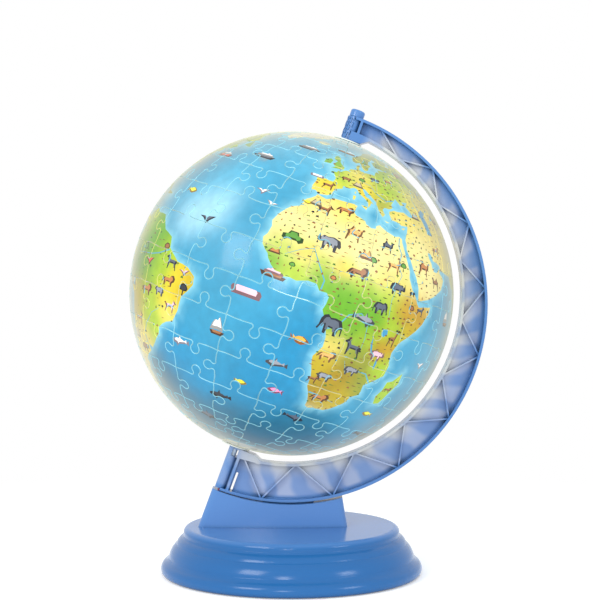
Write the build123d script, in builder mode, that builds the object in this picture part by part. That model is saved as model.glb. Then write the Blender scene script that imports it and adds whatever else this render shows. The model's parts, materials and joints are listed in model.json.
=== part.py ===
"""Light-up jigsaw globe on a tilted C-shaped arm and a bell-shaped base.

Frame: origin at the centre of the face it stands on, +Z up, +X towards the side where the arm bows out.
The arm lies in the XZ plane. All sizes are millimetres.
"""

import math
import os

from build123d import *

os.makedirs("parts", exist_ok=True)

# ---------------------------------------------------------------- driving dimensions
BALL_R = 100.0
BALL_Z = 173.0
TILT = 20.2
SHELL = 2.4
ROWS = 14
SEAM = 0.1
POLE_HOLE_R = 7.0

ARM_INNER_R = 105.1
ARM_OUTER_R = 122.7
ARM_OUTER_SHIFT = 6.65
ARM_OUTER_SHIFT_DIR = 195.0
ARM_DEPTH = 12.0
WEB = 3.0
FLANGE = 1.7
RIB = 1.0
RIB_DEPTH = 9.6
RIB_STEP = 20.0
RIB_FIRST = 28.5
RIB_COUNT = 9

HUB_FACE = 101.0
HUB_TOP = 116.0
HUB_R = 4.5
PIN_R = 1.5
RUNNING_GAP = 0.05
PIN_HEAD_BASE = 116.1
PIN_HEAD_TOP = 120.7
PIN_END = 91.0

TUBE_R = 3.4
STEM_R = 2.2
STEM_BORE_R = 1.5
STEM_FOOT = -126.0
LAMP_FLOOR = -18.0
LAMP_DECK = -14.0
LAMP_R = 12.0
BOARD_THICK = 1.6
LED_R = 2.5
LED_SIDE = 3.4

NECK_RIM_R = 129.8
NECK_TOP_WALL = 2.5
NECK_WALL = 1.9
NECK_LEFT_X = -57.8
NECK_LEFT_SLOPE = 0.372
NECK_RIGHT_X = 34.6
NECK_RIGHT_SLOPE = -0.17
NECK_END_DEPTH = 7.6
NECK_MID_DEPTH = 10.8
NECK_DEPTH_SLOPE = -0.03

BASE_TOP = 29.0
RIM_Z = 0.6
PLATE_Z = 0.8
PLATE_TOP = 3.4
PLATE_R = 76.7
BOSS_RING_R = 62.0
GRIP_IN_R = 66.0
GRIP_OUT_R = 72.0
GRIP_DEPTH = 0.8

CELL_R = 7.1
CELL_LENGTH = 49.3
CELL_NUB = 1.0
CELL_PITCH = 15.2
CELL_Z = 10.6
BAY_HALF_X = 22.9
BAY_HALF_Y = 28.1
BAY_WALL = 1.6
BAY_ROOF_Z = 18.6
DOOR_GAP = 0.3
DOOR_TAIL = 36.0
DOOR_TOP = 2.6
DOOR_SCREW_Y = -32.5

SWITCH_X = -38.7
SWITCH_Z = 37.5
SWITCH_TRAVEL = 4.0
SWITCH_BOSS_X = (-47.0, -26.5)
SWITCH_BOSS_Z = 36.0
SWITCH_BOARD_X = (-49.3, -24.2)
SWITCH_BOARD_Z = (31.0, 41.5)
SWITCH_BOSS_REACH = (5.2, 7.6)
SWITCH_BOARD_Y = -0.3
KNOB_FLANGE_Y = 4.9
KNOB_REACH = 6.3

# ---------------------------------------------------------------- the tilted axis
lean = math.radians(TILT)
axis_dir = Vector(math.sin(lean), 0, math.cos(lean))
across_dir = Vector(math.cos(lean), 0, -math.sin(lean))
ball_centre = Vector(0, 0, BALL_Z)


def on_axis(height):
    """A plane square to the tilted axis, that far up it from the ball's centre."""
    return Plane(origin=ball_centre + axis_dir * height, x_dir=across_dir, z_dir=axis_dir)


# The plane that holds the axis and the arm, with its origin at the ball's centre.
arm_plane = Plane(origin=ball_centre, x_dir=across_dir, z_dir=(0, -1, 0))


def around(angle, radius):
    """A point of the XZ plane, by its clock angle from straight up round the ball's centre."""
    turn = math.radians(angle)
    return (radius * math.sin(turn), BALL_Z + radius * math.cos(turn))


def outer_radius(angle, inset=0.0):
    """Distance from the ball's centre to the arm's outer edge, which is an eccentric circle."""
    turn = math.radians(angle - ARM_OUTER_SHIFT_DIR)
    side = ARM_OUTER_SHIFT * math.sin(turn)
    return ARM_OUTER_SHIFT * math.cos(turn) + math.sqrt((ARM_OUTER_R - inset) ** 2 - side**2)


def save(part, name):
    part.label = name
    export_step(part, f"parts/{name}.step")


# ---------------------------------------------------------------- arm
shift_x, shift_z = around(ARM_OUTER_SHIFT_DIR, ARM_OUTER_SHIFT)


def crescent(inset):
    """The arm's outline, drawn in by inset, on the bowed side of the axis."""
    with Locations((shift_x, shift_z)):
        Circle(ARM_OUTER_R - inset)
    with Locations((0, BALL_Z)):
        Circle(ARM_INNER_R + inset, mode=Mode.SUBTRACT)
        Rectangle(
            200,
            400,
            rotation=-TILT,
            align=(Align.MIN, Align.CENTER),
            mode=Mode.INTERSECT,
        )


rib_points = []
for k in range(RIB_COUNT):
    out_angle = RIB_FIRST + k * RIB_STEP
    in_angle = out_angle + RIB_STEP / 2
    rib_points.append(around(out_angle, outer_radius(out_angle, FLANGE / 2)))
    rib_points.append(around(min(in_angle, 196.0), ARM_INNER_R + FLANGE / 2))

with BuildPart() as meridian_arm:
    with BuildSketch(Plane.XZ) as web_outline:
        crescent(0)
    extrude(amount=WEB / 2, both=True)
    with BuildSketch(Plane.XZ) as flange_outline:
        crescent(0)
        with BuildSketch(Plane.XZ, mode=Mode.PRIVATE) as recess:
            crescent(FLANGE)
        add(recess.sketch, mode=Mode.SUBTRACT)
    extrude(amount=ARM_DEPTH / 2, both=True)
    with BuildSketch(Plane.XZ) as rib_outline:
        with BuildLine() as rib_path:
            Polyline(rib_points)
        trace(line_width=RIB)
    extrude(amount=RIB_DEPTH / 2, both=True)
    # the pads that face the ball at each end of the arm, and the walls that close the arm's ends
    with BuildSketch(arm_plane) as pads:
        with BuildLine():
            Polyline((0, HUB_FACE), (7.6, HUB_FACE), (12.4, 104.2), (12.4, 106.2), (0, 106.6), close=True)
        make_face()
        with BuildLine():
            Polyline((0, -HUB_FACE), (13.8, -101.5), (18.3, -103.6), (18.3, -106), (0, -106), close=True)
        make_face()
        with Locations((4.4, 108.5)):
            Rectangle(FLANGE, 14.6)
        with Locations((4.4, -115)):
            Rectangle(FLANGE, 27.6)
    extrude(amount=ARM_DEPTH / 2, both=True)
    # the upper hub with its staggered grip ridges
    with BuildSketch(on_axis(HUB_FACE)):
        Circle(HUB_R)
    extrude(amount=HUB_TOP - HUB_FACE)
    for column in range(9):
        stagger = 0.0 if column % 2 else 2.3
        facing = Rotation(0, 0, 100 + column * 20)
        for step in range(3):
            height = HUB_FACE + 1.2 + stagger + step * 4.6
            seat = on_axis(height).location * facing * Pos(HUB_R, 0, 0)
            length = min(3.2, HUB_TOP - 0.4 - height)
            with Locations(seat):
                Box(1.0, 0.8, length, align=(Align.CENTER, Align.CENTER, Align.MIN))
    # the lower hub tube, with the step at its ball end, and the tongue that goes into the neck
    with BuildSketch(on_axis(-HUB_FACE)):
        Circle(TUBE_R)
    extrude(amount=HUB_FACE - NECK_RIM_R + 1.2)
    with BuildSketch(Plane.XZ) as tongue:
        with Locations((0, BALL_Z)):
            Circle(NECK_RIM_R + NECK_TOP_WALL)
            Circle(NECK_RIM_R - 3, mode=Mode.SUBTRACT)
        with BuildLine():
            Polyline((0, BALL_Z), around(174, 160), around(188, 160), close=True)
        make_face(mode=Mode.INTERSECT)
    extrude(amount=WEB, both=True)
    # bores on the axis
    with BuildSketch(on_axis(HUB_TOP + 1)):
        Circle(PIN_R + RUNNING_GAP)
    extrude(amount=-(HUB_TOP - HUB_FACE + 2), mode=Mode.SUBTRACT)
    with BuildSketch(on_axis(-HUB_FACE + 1)):
        Circle(STEM_R)
    extrude(amount=-(abs(STEM_FOOT) - HUB_FACE + 1), mode=Mode.SUBTRACT)
    with BuildSketch(on_axis(-HUB_FACE)):
        Circle(STEM_BORE_R)
    extrude(amount=-40, mode=Mode.SUBTRACT)
    # the window by the ball, the slit beside the tube and the screw holes in the tongue
    with BuildSketch(arm_plane):
        with Locations((1.2, -104.4)):
            Rectangle(3.6, 4.6)
    extrude(amount=ARM_DEPTH, both=True, mode=Mode.SUBTRACT)
    with BuildSketch(arm_plane):
        with Locations((6.9, -121.8)):
            SlotOverall(12.4, 1.3, rotation=90)
    extrude(amount=ARM_DEPTH, both=True, mode=Mode.SUBTRACT)
    for angle in (177.5, 184.5):
        x, z = around(angle, NECK_RIM_R + NECK_TOP_WALL + 1)
        out = Vector(x, 0, z - BALL_Z).normalized()
        with BuildSketch(Plane(origin=(x, 0, z), z_dir=out * -1)):
            Circle(0.95)
        extrude(amount=13, mode=Mode.SUBTRACT)
save(meridian_arm.part, "meridian_arm")

# ---------------------------------------------------------------- base and neck


def neck_section(height, inset):
    """The neck's plan outline at a height: two bowed long sides and rounded corners."""
    rise = height - BASE_TOP
    left = NECK_LEFT_X + NECK_LEFT_SLOPE * rise + inset
    right = NECK_RIGHT_X + NECK_RIGHT_SLOPE * rise - inset
    end = NECK_END_DEPTH + NECK_DEPTH_SLOPE * rise - inset
    middle = NECK_MID_DEPTH + NECK_DEPTH_SLOPE * rise - inset
    centre = (left + right) / 2
    with BuildLine(Plane.XY) as outline:
        ThreePointArc((left, -end), (centre, -middle), (right, -end))
        Line((right, -end), (right, end))
        ThreePointArc((right, end), (centre, middle), (left, end))
        Line((left, end), (left, -end))
    make_face(outline.edges())


NECK_LOW, NECK_HIGH = BASE_TOP - 3.0, 60.0

with BuildPart() as neck_cavity:
    for height in (NECK_LOW - 4, NECK_HIGH):
        with BuildSketch(Plane.XY.offset(height)) as inner:
            neck_section(height, NECK_WALL)
            fillet(inner.vertices(), 2.6)
    loft(ruled=True)
    with BuildSketch(Plane.XZ):
        with Locations((0, BALL_Z)):
            Circle(NECK_RIM_R + NECK_TOP_WALL)
    extrude(amount=40, both=True, mode=Mode.SUBTRACT)

boss_spots = PolarLocations(BOSS_RING_R, 4, start_angle=45)
switch_bosses = Locations(*[(x, SWITCH_BOSS_Z) for x in SWITCH_BOSS_X])

with BuildPart() as base_bell:
    for height in (NECK_LOW, NECK_HIGH):
        with BuildSketch(Plane.XY.offset(height)) as outer:
            neck_section(height, 0)
            fillet(outer.vertices(), 4.4)
    loft(ruled=True)
    with BuildSketch(Plane.XZ):
        with Locations((0, BALL_Z)):
            Circle(NECK_RIM_R)
    extrude(amount=40, both=True, mode=Mode.SUBTRACT)
    with BuildSketch(Plane.XZ) as bell_profile:
        with BuildLine():
            Line((0, BASE_TOP), (63.4, BASE_TOP))
            ThreePointArc((63.4, BASE_TOP), (65.9, 28.1), (66.9, 25.8))
            Polyline((66.9, 25.8), (66.9, 24.1), (67.6, 23.1))
            ThreePointArc((67.6, 23.1), (69.9, 21.4), (71.3, 18.9))
            Line((71.3, 18.9), (71.9, 18.4))
            ThreePointArc((71.9, 18.4), (74.6, 14.8), (76.0, 10.6))
            ThreePointArc((76.0, 10.6), (76.9, 9.3), (78.2, 8.2))
            ThreePointArc((78.2, 8.2), (80.7, 4.6), (80.1, RIM_Z + 0.7))
            Polyline((80.1, RIM_Z + 0.7), (79.3, RIM_Z), (77.0, RIM_Z), (77.0, PLATE_TOP))
            Polyline((77.0, PLATE_TOP), (73.8, PLATE_TOP), (73.6, 9.8), (70.2, 16.2))
            Polyline((70.2, 16.2), (65.0, 20.8), (64.8, 26.6), (0, 26.6), (0, BASE_TOP))
        make_face()
    revolve(axis=Axis.Z)
    with BuildSketch(Plane.XY.offset(PLATE_TOP)):
        with boss_spots:
            Circle(3.4)
    extrude(until=Until.NEXT)
    add(neck_cavity.part, mode=Mode.SUBTRACT)
    # bosses for the switch board, from the neck's rear wall
    boss_face = SWITCH_BOARD_Y + BOARD_THICK
    for x, reach in zip(SWITCH_BOSS_X, SWITCH_BOSS_REACH):
        with BuildSketch(Plane.XZ.offset(-boss_face)):
            with Locations((x, SWITCH_BOSS_Z)):
                Circle(2.3)
        extrude(amount=-reach)
    with BuildSketch(Plane.XZ.offset(-boss_face)):
        with switch_bosses:
            Circle(0.9)
    extrude(amount=-4.5, mode=Mode.SUBTRACT)
    # holes: screws, the tongue, the lamp lead and the switch slot
    with BuildSketch(Plane.XY.offset(PLATE_TOP - 1)):
        with boss_spots:
            Circle(1.35)
    extrude(amount=12, mode=Mode.SUBTRACT)
    with BuildSketch(Plane.XZ):
        with BuildLine():
            Polyline((0, BALL_Z), around(173.9, 150), around(188.1, 150), close=True)
        make_face()
        with Locations((0, BALL_Z)):
            Circle(NECK_RIM_R - 5, mode=Mode.SUBTRACT)
            Circle(NECK_RIM_R + 4, mode=Mode.INTERSECT)
    extrude(amount=WEB + 0.05, both=True, mode=Mode.SUBTRACT)
    with BuildSketch(on_axis(-NECK_RIM_R + 2)):
        Circle(STEM_BORE_R)
    extrude(amount=-9, mode=Mode.SUBTRACT)
    with BuildSketch(Plane.XZ.offset(-KNOB_FLANGE_Y)):
        with Locations((SWITCH_X + SWITCH_TRAVEL / 2, SWITCH_Z)):
            Rectangle(SWITCH_TRAVEL + 5.0, 4.2)
    extrude(amount=-8, mode=Mode.SUBTRACT)
save(base_bell.part, "base_bell")

with BuildPart() as base_plate:
    with BuildSketch(Plane.XY.offset(PLATE_Z)):
        Circle(PLATE_R)
    extrude(amount=PLATE_TOP - PLATE_Z)
    with BuildSketch(Plane.XY.offset(PLATE_TOP)):
        Rectangle(2 * (BAY_HALF_X + BAY_WALL), 2 * (BAY_HALF_Y + BAY_WALL))
    extrude(amount=BAY_ROOF_Z + BAY_WALL - PLATE_TOP)
    with BuildSketch(Plane.XY.offset(PLATE_TOP)):
        with Locations((0, DOOR_SCREW_Y)):
            Rectangle(10, 7)
    extrude(amount=5)
    with BuildSketch(Plane.XY.offset(PLATE_Z - 1)):
        Rectangle(2 * BAY_HALF_X, 2 * BAY_HALF_Y)
    extrude(amount=BAY_ROOF_Z - PLATE_Z + 1, mode=Mode.SUBTRACT)
    # the stepped seat of the battery door, the screw holes and the groove of the grip ring
    with BuildSketch(Plane.XY.offset(PLATE_Z - 1)):
        with Locations((0, (BAY_HALF_Y - DOOR_TAIL) / 2)):
            Rectangle(2 * BAY_HALF_X, BAY_HALF_Y + DOOR_TAIL)
    extrude(amount=DOOR_TOP - PLATE_Z + 1, mode=Mode.SUBTRACT)
    with BuildSketch(Plane.XY.offset(PLATE_Z)):
        with Locations((0, DOOR_SCREW_Y)):
            Circle(1.15)
    extrude(amount=6.5, mode=Mode.SUBTRACT)
    with Locations(Plane.XY.offset(PLATE_Z).rotated((180, 0, 0))):
        with boss_spots:
            CounterBoreHole(1.5, 3.0, 1.4, depth=5)
    with BuildSketch(Plane.XY.offset(PLATE_Z)):
        Circle(GRIP_OUT_R)
        Circle(GRIP_IN_R, mode=Mode.SUBTRACT)
    extrude(amount=GRIP_DEPTH, mode=Mode.SUBTRACT)
save(base_plate.part, "base_plate")

with BuildPart() as grip_ring:
    with BuildSketch():
        Circle(GRIP_OUT_R)
        Circle(GRIP_IN_R, mode=Mode.SUBTRACT)
    extrude(amount=PLATE_Z + GRIP_DEPTH)
    chamfer(grip_ring.faces().sort_by(Axis.Z)[0].edges(), 0.3)
save(grip_ring.part, "grip_ring")


def pan_screws(spots, head_z, head_r, head_h, shank_r, length):
    """Vertical screws, driven from below: head first, then the shank upwards."""
    with BuildPart() as screws:
        with BuildSketch(Plane.XY.offset(head_z)):
            with spots:
                Circle(head_r)
        extrude(amount=head_h)
        with BuildSketch(Plane.XY.offset(head_z)):
            with spots:
                Circle(shank_r)
        extrude(amount=length)
        with BuildSketch(Plane.XY.offset(head_z)):
            with spots:
                Rectangle(head_r * 1.2, 0.5)
                Rectangle(0.5, head_r * 1.2)
        extrude(amount=head_h * 0.6, mode=Mode.SUBTRACT)
    return screws.part


save(pan_screws(boss_spots, PLATE_Z + 0.15, 2.7, 1.25, 1.3, 11.5), "base_screws")

with BuildPart() as battery_door:
    with BuildSketch(Plane.XY.offset(PLATE_Z)):
        with Locations((0, (BAY_HALF_Y - DOOR_TAIL) / 2)):
            Rectangle(2 * (BAY_HALF_X - DOOR_GAP), BAY_HALF_Y + DOOR_TAIL - 2 * DOOR_GAP)
        with Locations((0, DOOR_SCREW_Y)):
            Circle(2.5, mode=Mode.SUBTRACT)
    extrude(amount=DOOR_TOP - PLATE_Z)
    # finger ribs across the face of the door
    with BuildSketch(Plane.XY.offset(PLATE_Z)):
        with GridLocations(0, 3, 1, 5):
            SlotOverall(26, 1.4)
    extrude(amount=0.5, mode=Mode.SUBTRACT)
    with BuildSketch(Plane.XY.offset(DOOR_TOP - 0.5)):
        with Locations((0, DOOR_SCREW_Y)):
            Circle(2.5)
            Circle(1.3, mode=Mode.SUBTRACT)
    extrude(amount=0.5)
save(battery_door.part, "battery_door")

save(pan_screws(Locations((0, DOOR_SCREW_Y)), PLATE_Z, 2.3, 1.2, 1.1, 6.0), "battery_door_screw")

# ---------------------------------------------------------------- power
for index in range(3):
    towards = 1 if index % 2 else -1
    with BuildPart() as cell:
        x = (index - 1) * CELL_PITCH
        start = BAY_HALF_Y - 0.4 - CELL_NUB - CELL_LENGTH
        can_plane = Plane(origin=(x, towards * start, CELL_Z), z_dir=(0, towards, 0))
        with BuildSketch(can_plane):
            Circle(CELL_R)
        extrude(amount=CELL_LENGTH)
        fillet(cell.edges().filter_by(GeomType.CIRCLE), 0.6)
        with BuildSketch(can_plane.offset(CELL_LENGTH)):
            Circle(2.6)
        extrude(amount=CELL_NUB)
    save(cell.part, f"battery_cell_{index + 1}")

with BuildPart() as contact_plates:
    for index in range(3):
        x = (index - 1) * CELL_PITCH
        for side in (-1, 1):
            with BuildSketch(Plane(origin=(x, side * BAY_HALF_Y, CELL_Z), z_dir=(0, -side, 0))):
                Rectangle(11, 11)
            extrude(amount=0.4)
save(contact_plates.part, "contact_plates")

with BuildPart() as contact_springs:
    for index in range(3):
        towards = 1 if index % 2 else -1
        x = (index - 1) * CELL_PITCH
        foot = Plane(
            origin=(x, -towards * (BAY_HALF_Y - 0.9), CELL_Z),
            x_dir=(1, 0, 0),
            z_dir=(0, towards, 0),
        )
        coil = foot * Helix(pitch=1.5, height=3.0, radius=3.6, cone_angle=-18)
        with BuildSketch(Plane(origin=coil @ 0, z_dir=coil % 0)):
            Circle(0.35)
        sweep(path=coil, is_frenet=True)
save(contact_springs.part, "contact_springs")

with BuildPart() as switch_board:
    with BuildSketch(Plane.XZ.offset(-SWITCH_BOARD_Y)):
        with Locations((sum(SWITCH_BOARD_X) / 2, sum(SWITCH_BOARD_Z) / 2)):
            Rectangle(SWITCH_BOARD_X[1] - SWITCH_BOARD_X[0], SWITCH_BOARD_Z[1] - SWITCH_BOARD_Z[0])
        with switch_bosses:
            Circle(1.1, mode=Mode.SUBTRACT)
    extrude(amount=-BOARD_THICK)
save(switch_board.part, "switch_board")

with BuildPart() as switch_body:
    with BuildSketch(Plane.XZ.offset(-SWITCH_BOARD_Y - BOARD_THICK)):
        with Locations((SWITCH_X + SWITCH_TRAVEL / 2, SWITCH_Z)):
            Rectangle(12.6, 6.4)
    extrude(amount=-(KNOB_FLANGE_Y - 0.3 - BOARD_THICK - SWITCH_BOARD_Y))
    fillet(switch_body.edges().filter_by(Axis.Y), 0.5)
save(switch_body.part, "switch_body")

with BuildPart() as switch_screws:
    for x in SWITCH_BOSS_X:
        with BuildSketch(Plane(origin=(x, SWITCH_BOARD_Y, SWITCH_BOSS_Z), z_dir=(0, -1, 0))):
            Circle(1.7)
        extrude(amount=1.1)
        with BuildSketch(Plane(origin=(x, SWITCH_BOARD_Y, SWITCH_BOSS_Z), z_dir=(0, 1, 0))):
            Circle(0.85)
        extrude(amount=5.6)
save(switch_screws.part, "switch_screws")

with BuildPart() as switch_knob:
    with BuildSketch(Plane.XZ.offset(-KNOB_FLANGE_Y)):
        with Locations((SWITCH_X, SWITCH_Z)):
            Rectangle(9.4, 6.0)
    extrude(amount=-0.8)
    with BuildSketch(Plane.XZ.offset(-KNOB_FLANGE_Y)):
        with Locations((SWITCH_X, SWITCH_Z)):
            Rectangle(3.8, 3.2)
    extrude(amount=-KNOB_REACH)
    fillet(switch_knob.faces().sort_by(Axis.Y)[-1].edges(), 0.5)
    with BuildSketch(Plane(origin=(SWITCH_X, KNOB_FLANGE_Y + KNOB_REACH, SWITCH_Z), z_dir=(0, -1, 0))):
        with GridLocations(1.0, 0, 3, 1):
            Rectangle(0.4, 4)
    extrude(amount=0.4, mode=Mode.SUBTRACT)
save(switch_knob.part, "switch_knob")


def lead(points, bends, radius):
    """A wire pair in one sleeve: straight runs joined by tangent arcs."""
    with BuildPart() as sleeve:
        with BuildLine() as route:
            FilletPolyline(*points, radius=bends)
        with BuildSketch(Plane(origin=route.line @ 0, z_dir=route.line % 0)):
            Circle(radius)
        sweep()
    return sleeve.part


solder_x, solder_z = -40.0, 33.0
lamp_route = [
    tuple(ball_centre + axis_dir * LAMP_DECK),
    tuple(ball_centre + axis_dir * -133.5),
    (-46.0, -3.9, 34.2),
    (solder_x, -3.9, solder_z),
    (solder_x, SWITCH_BOARD_Y, solder_z),
]
save(lead(lamp_route, [12.0, 4.0, 2.0], 0.9), "lamp_lead")
board_edge_y = SWITCH_BOARD_Y + BOARD_THICK / 2
battery_route = [
    (-31.0, board_edge_y, SWITCH_BOARD_Z[0]),
    (-31.0, board_edge_y, 25.6),
    (-20.0, board_edge_y, 24.4),
    (-20.0, board_edge_y, BAY_ROOF_Z + BAY_WALL),
]
save(lead(battery_route, [2.4, 1.8], 0.8), "battery_lead")

# ---------------------------------------------------------------- clamp under the neck's top wall
with BuildPart() as arm_clamp:
    with BuildSketch(Plane.XZ):
        with Locations((0, BALL_Z)):
            Circle(NECK_RIM_R + NECK_TOP_WALL + 2.2)
            Circle(NECK_RIM_R + NECK_TOP_WALL, mode=Mode.SUBTRACT)
        with BuildLine():
            Polyline((0, BALL_Z), around(173, 160), around(189, 160), close=True)
        make_face(mode=Mode.INTERSECT)
    extrude(amount=5.5, both=True)
    for angle in (177.5, 184.5):
        x, z = around(angle, NECK_RIM_R)
        out = Vector(x, 0, z - BALL_Z).normalized()
        with BuildSketch(Plane(origin=(x, 0, z), z_dir=out)):
            Circle(1.0)
        extrude(amount=8, mode=Mode.SUBTRACT)
save(arm_clamp.part, "arm_clamp")

with BuildPart() as arm_screws:
    for angle in (177.5, 184.5):
        x, z = around(angle, NECK_RIM_R + NECK_TOP_WALL + 2.2)
        out = Vector(x, 0, z - BALL_Z).normalized()
        with BuildSketch(Plane(origin=(x, 0, z), z_dir=out)):
            Circle(1.9)
        extrude(amount=1.4)
        with BuildSketch(Plane(origin=(x, 0, z), z_dir=out * -1)):
            Circle(0.9)
        extrude(amount=13)
save(arm_screws.part, "arm_screws")

# ---------------------------------------------------------------- lamp inside the ball
with BuildPart() as lamp_stem:
    with BuildSketch(on_axis(STEM_FOOT)):
        Circle(STEM_R)
        Circle(STEM_BORE_R, mode=Mode.SUBTRACT)
    extrude(amount=LAMP_FLOOR - STEM_FOOT + 2)
save(lamp_stem.part, "lamp_stem")

with BuildPart() as lamp_holder:
    with BuildSketch(on_axis(LAMP_FLOOR - 5)):
        Circle(4.2)
    extrude(amount=5)
    with BuildSketch(on_axis(LAMP_FLOOR)):
        Circle(LAMP_R)
    extrude(amount=LAMP_DECK - LAMP_FLOOR)
    with BuildSketch(on_axis(LAMP_DECK)):
        Circle(LAMP_R - 1.6)
        Circle(LAMP_R - 2.8, mode=Mode.SUBTRACT)
    extrude(amount=2.2)
    with BuildSketch(on_axis(LAMP_FLOOR - 5)):
        Circle(STEM_R)
    extrude(amount=7, mode=Mode.SUBTRACT)
    with BuildSketch(on_axis(LAMP_FLOOR)):
        Circle(STEM_BORE_R)
    extrude(amount=6, mode=Mode.SUBTRACT)
save(lamp_holder.part, "lamp_holder")

with BuildPart() as lamp_board:
    with BuildSketch(on_axis(LAMP_DECK)):
        Circle(LAMP_R - 2.8)
    extrude(amount=BOARD_THICK)
save(lamp_board.part, "lamp_board")

with BuildPart() as lamp_leds:
    for index in range(3):
        facing = Rotation(0, 0, index * 120)
        spot = on_axis(LAMP_DECK + BOARD_THICK).location * facing * Pos(4.8, 0, 0)
        with Locations(spot):
            Cylinder(LED_R, LED_SIDE, align=(Align.CENTER, Align.CENTER, Align.MIN))
        with Locations(spot * Pos(0, 0, LED_SIDE)):
            Sphere(LED_R)
save(lamp_leds.part, "lamp_leds")

with BuildPart() as lamp_diffuser:
    DIFFUSER_WALL, DIFFUSER_SIDE = 1.2, 16.0
    with BuildSketch(arm_plane):
        with BuildLine():
            Polyline(
                (0, LAMP_DECK + DIFFUSER_SIDE + LAMP_R),
                (0, LAMP_DECK + DIFFUSER_SIDE + LAMP_R - DIFFUSER_WALL),
            )
            RadiusArc(
                (0, LAMP_DECK + DIFFUSER_SIDE + LAMP_R - DIFFUSER_WALL),
                (LAMP_R - DIFFUSER_WALL, LAMP_DECK + DIFFUSER_SIDE),
                LAMP_R - DIFFUSER_WALL,
            )
            Polyline(
                (LAMP_R - DIFFUSER_WALL, LAMP_DECK + DIFFUSER_SIDE),
                (LAMP_R - DIFFUSER_WALL, LAMP_DECK),
                (LAMP_R, LAMP_DECK),
                (LAMP_R, LAMP_DECK + DIFFUSER_SIDE),
            )
            RadiusArc(
                (LAMP_R, LAMP_DECK + DIFFUSER_SIDE),
                (0, LAMP_DECK + DIFFUSER_SIDE + LAMP_R),
                -LAMP_R,
            )
        make_face()
    revolve(axis=Axis(ball_centre, axis_dir))
save(lamp_diffuser.part, "lamp_diffuser")

# ---------------------------------------------------------------- ball
spin_axis = Axis(ball_centre, axis_dir)
row_step = 180.0 / ROWS
pole_hole_angle = math.degrees(math.asin((POLE_HOLE_R + 0.05) / (BALL_R - SHELL)))


def on_shell(angle, radius):
    """A point of the axis plane, by its angle from the upper pole."""
    turn = math.radians(angle)
    return (radius * math.sin(turn), radius * math.cos(turn))


for row in range(ROWS):
    seam_turn = math.degrees(SEAM / 2 / BALL_R)
    high = max(row * row_step + seam_turn, pole_hole_angle)
    low = min((row + 1) * row_step - seam_turn, 180 - pole_hole_angle)
    middle = (high + low) / 2
    with BuildPart() as puzzle_row:
        with BuildSketch(arm_plane):
            with BuildLine():
                ThreePointArc(*[on_shell(a, BALL_R) for a in (high, middle, low)])
                Line(on_shell(low, BALL_R), on_shell(low, BALL_R - SHELL))
                ThreePointArc(*[on_shell(a, BALL_R - SHELL) for a in (low, middle, high)])
                Line(on_shell(high, BALL_R - SHELL), on_shell(high, BALL_R))
            make_face()
        revolve(axis=spin_axis)
    save(puzzle_row.part, f"puzzle_row_{row + 1:02d}")

for name, up, bore in (("top_pole_cap", 1, PIN_R), ("bottom_pole_cap", -1, STEM_R)):
    with BuildPart() as pole_cap:
        with BuildSketch(on_axis(up * 99.95)):
            Circle(9.0)
        extrude(amount=up * 0.75)
        with BuildSketch(on_axis(up * 99.95)):
            Circle(POLE_HOLE_R - 0.1)
        extrude(amount=-up * 7)
        with BuildSketch(on_axis(up * 92.95)):
            Circle(POLE_HOLE_R - 1.6)
            Circle(bore + 1.3, mode=Mode.SUBTRACT)
        extrude(amount=up * 5.4, mode=Mode.SUBTRACT)
        with BuildSketch(on_axis(up * 92)):
            Circle(bore + RUNNING_GAP)
        extrude(amount=up * 10, mode=Mode.SUBTRACT)
    save(pole_cap.part, name)

with BuildPart() as top_pin:
    with BuildSketch(on_axis(PIN_HEAD_BASE)):
        Circle(HUB_R)
    extrude(amount=PIN_HEAD_TOP - PIN_HEAD_BASE)
    fillet(top_pin.faces().sort_by(spin_axis)[-1].edges(), 1.4)
    with BuildSketch(on_axis(PIN_END)):
        Circle(PIN_R)
    extrude(amount=PIN_HEAD_BASE - PIN_END)
    chamfer(top_pin.faces().sort_by(spin_axis)[0].edges(), 0.5)
save(top_pin.part, "top_pin")
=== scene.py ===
"""Light-up jigsaw globe on its blue stand: the printed ball, the finishes of every part and a plain studio.

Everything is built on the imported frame, in metres. The ball is drawn as a map in degrees, cut into jigsaw
pieces and wrapped round the spin axis.
"""

import json
import math
import random

import bpy
import numpy as np
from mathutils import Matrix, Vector, geometry, kdtree


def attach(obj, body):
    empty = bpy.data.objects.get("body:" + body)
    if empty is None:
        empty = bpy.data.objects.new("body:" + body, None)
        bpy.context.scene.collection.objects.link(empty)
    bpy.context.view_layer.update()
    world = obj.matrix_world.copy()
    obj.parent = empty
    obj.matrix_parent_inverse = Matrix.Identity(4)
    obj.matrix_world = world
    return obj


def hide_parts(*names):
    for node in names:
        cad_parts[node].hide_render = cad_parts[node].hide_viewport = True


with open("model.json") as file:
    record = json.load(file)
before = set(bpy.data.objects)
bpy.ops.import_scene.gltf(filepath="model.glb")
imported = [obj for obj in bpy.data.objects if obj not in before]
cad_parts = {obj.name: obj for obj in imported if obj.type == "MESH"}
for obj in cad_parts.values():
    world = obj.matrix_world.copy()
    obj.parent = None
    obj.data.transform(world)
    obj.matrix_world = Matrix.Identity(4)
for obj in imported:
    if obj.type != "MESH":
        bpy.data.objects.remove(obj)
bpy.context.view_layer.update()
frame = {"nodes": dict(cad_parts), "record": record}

bl_info = {
    "name": "Jigsaw globe on stand",
    "version": (1, 0, 0),
    "blender": (4, 5, 0),
    "location": "3D View > Sidebar > Globe",
    "description": "Prints and cuts the jigsaw ball of a lit desk globe and finishes its stand",
    "category": "Object",
}

spin = next(j for j in frame["record"]["behaviour"]["joints"] if j["name"] == "globe_spin")
CENTRE = Vector(spin["pos_m"])
AXIS = Vector(spin["axis"]).normalized()
ACROSS = Vector((AXIS.z, 0, -AXIS.x))
FRONT = Vector((0, -1, 0))
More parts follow.
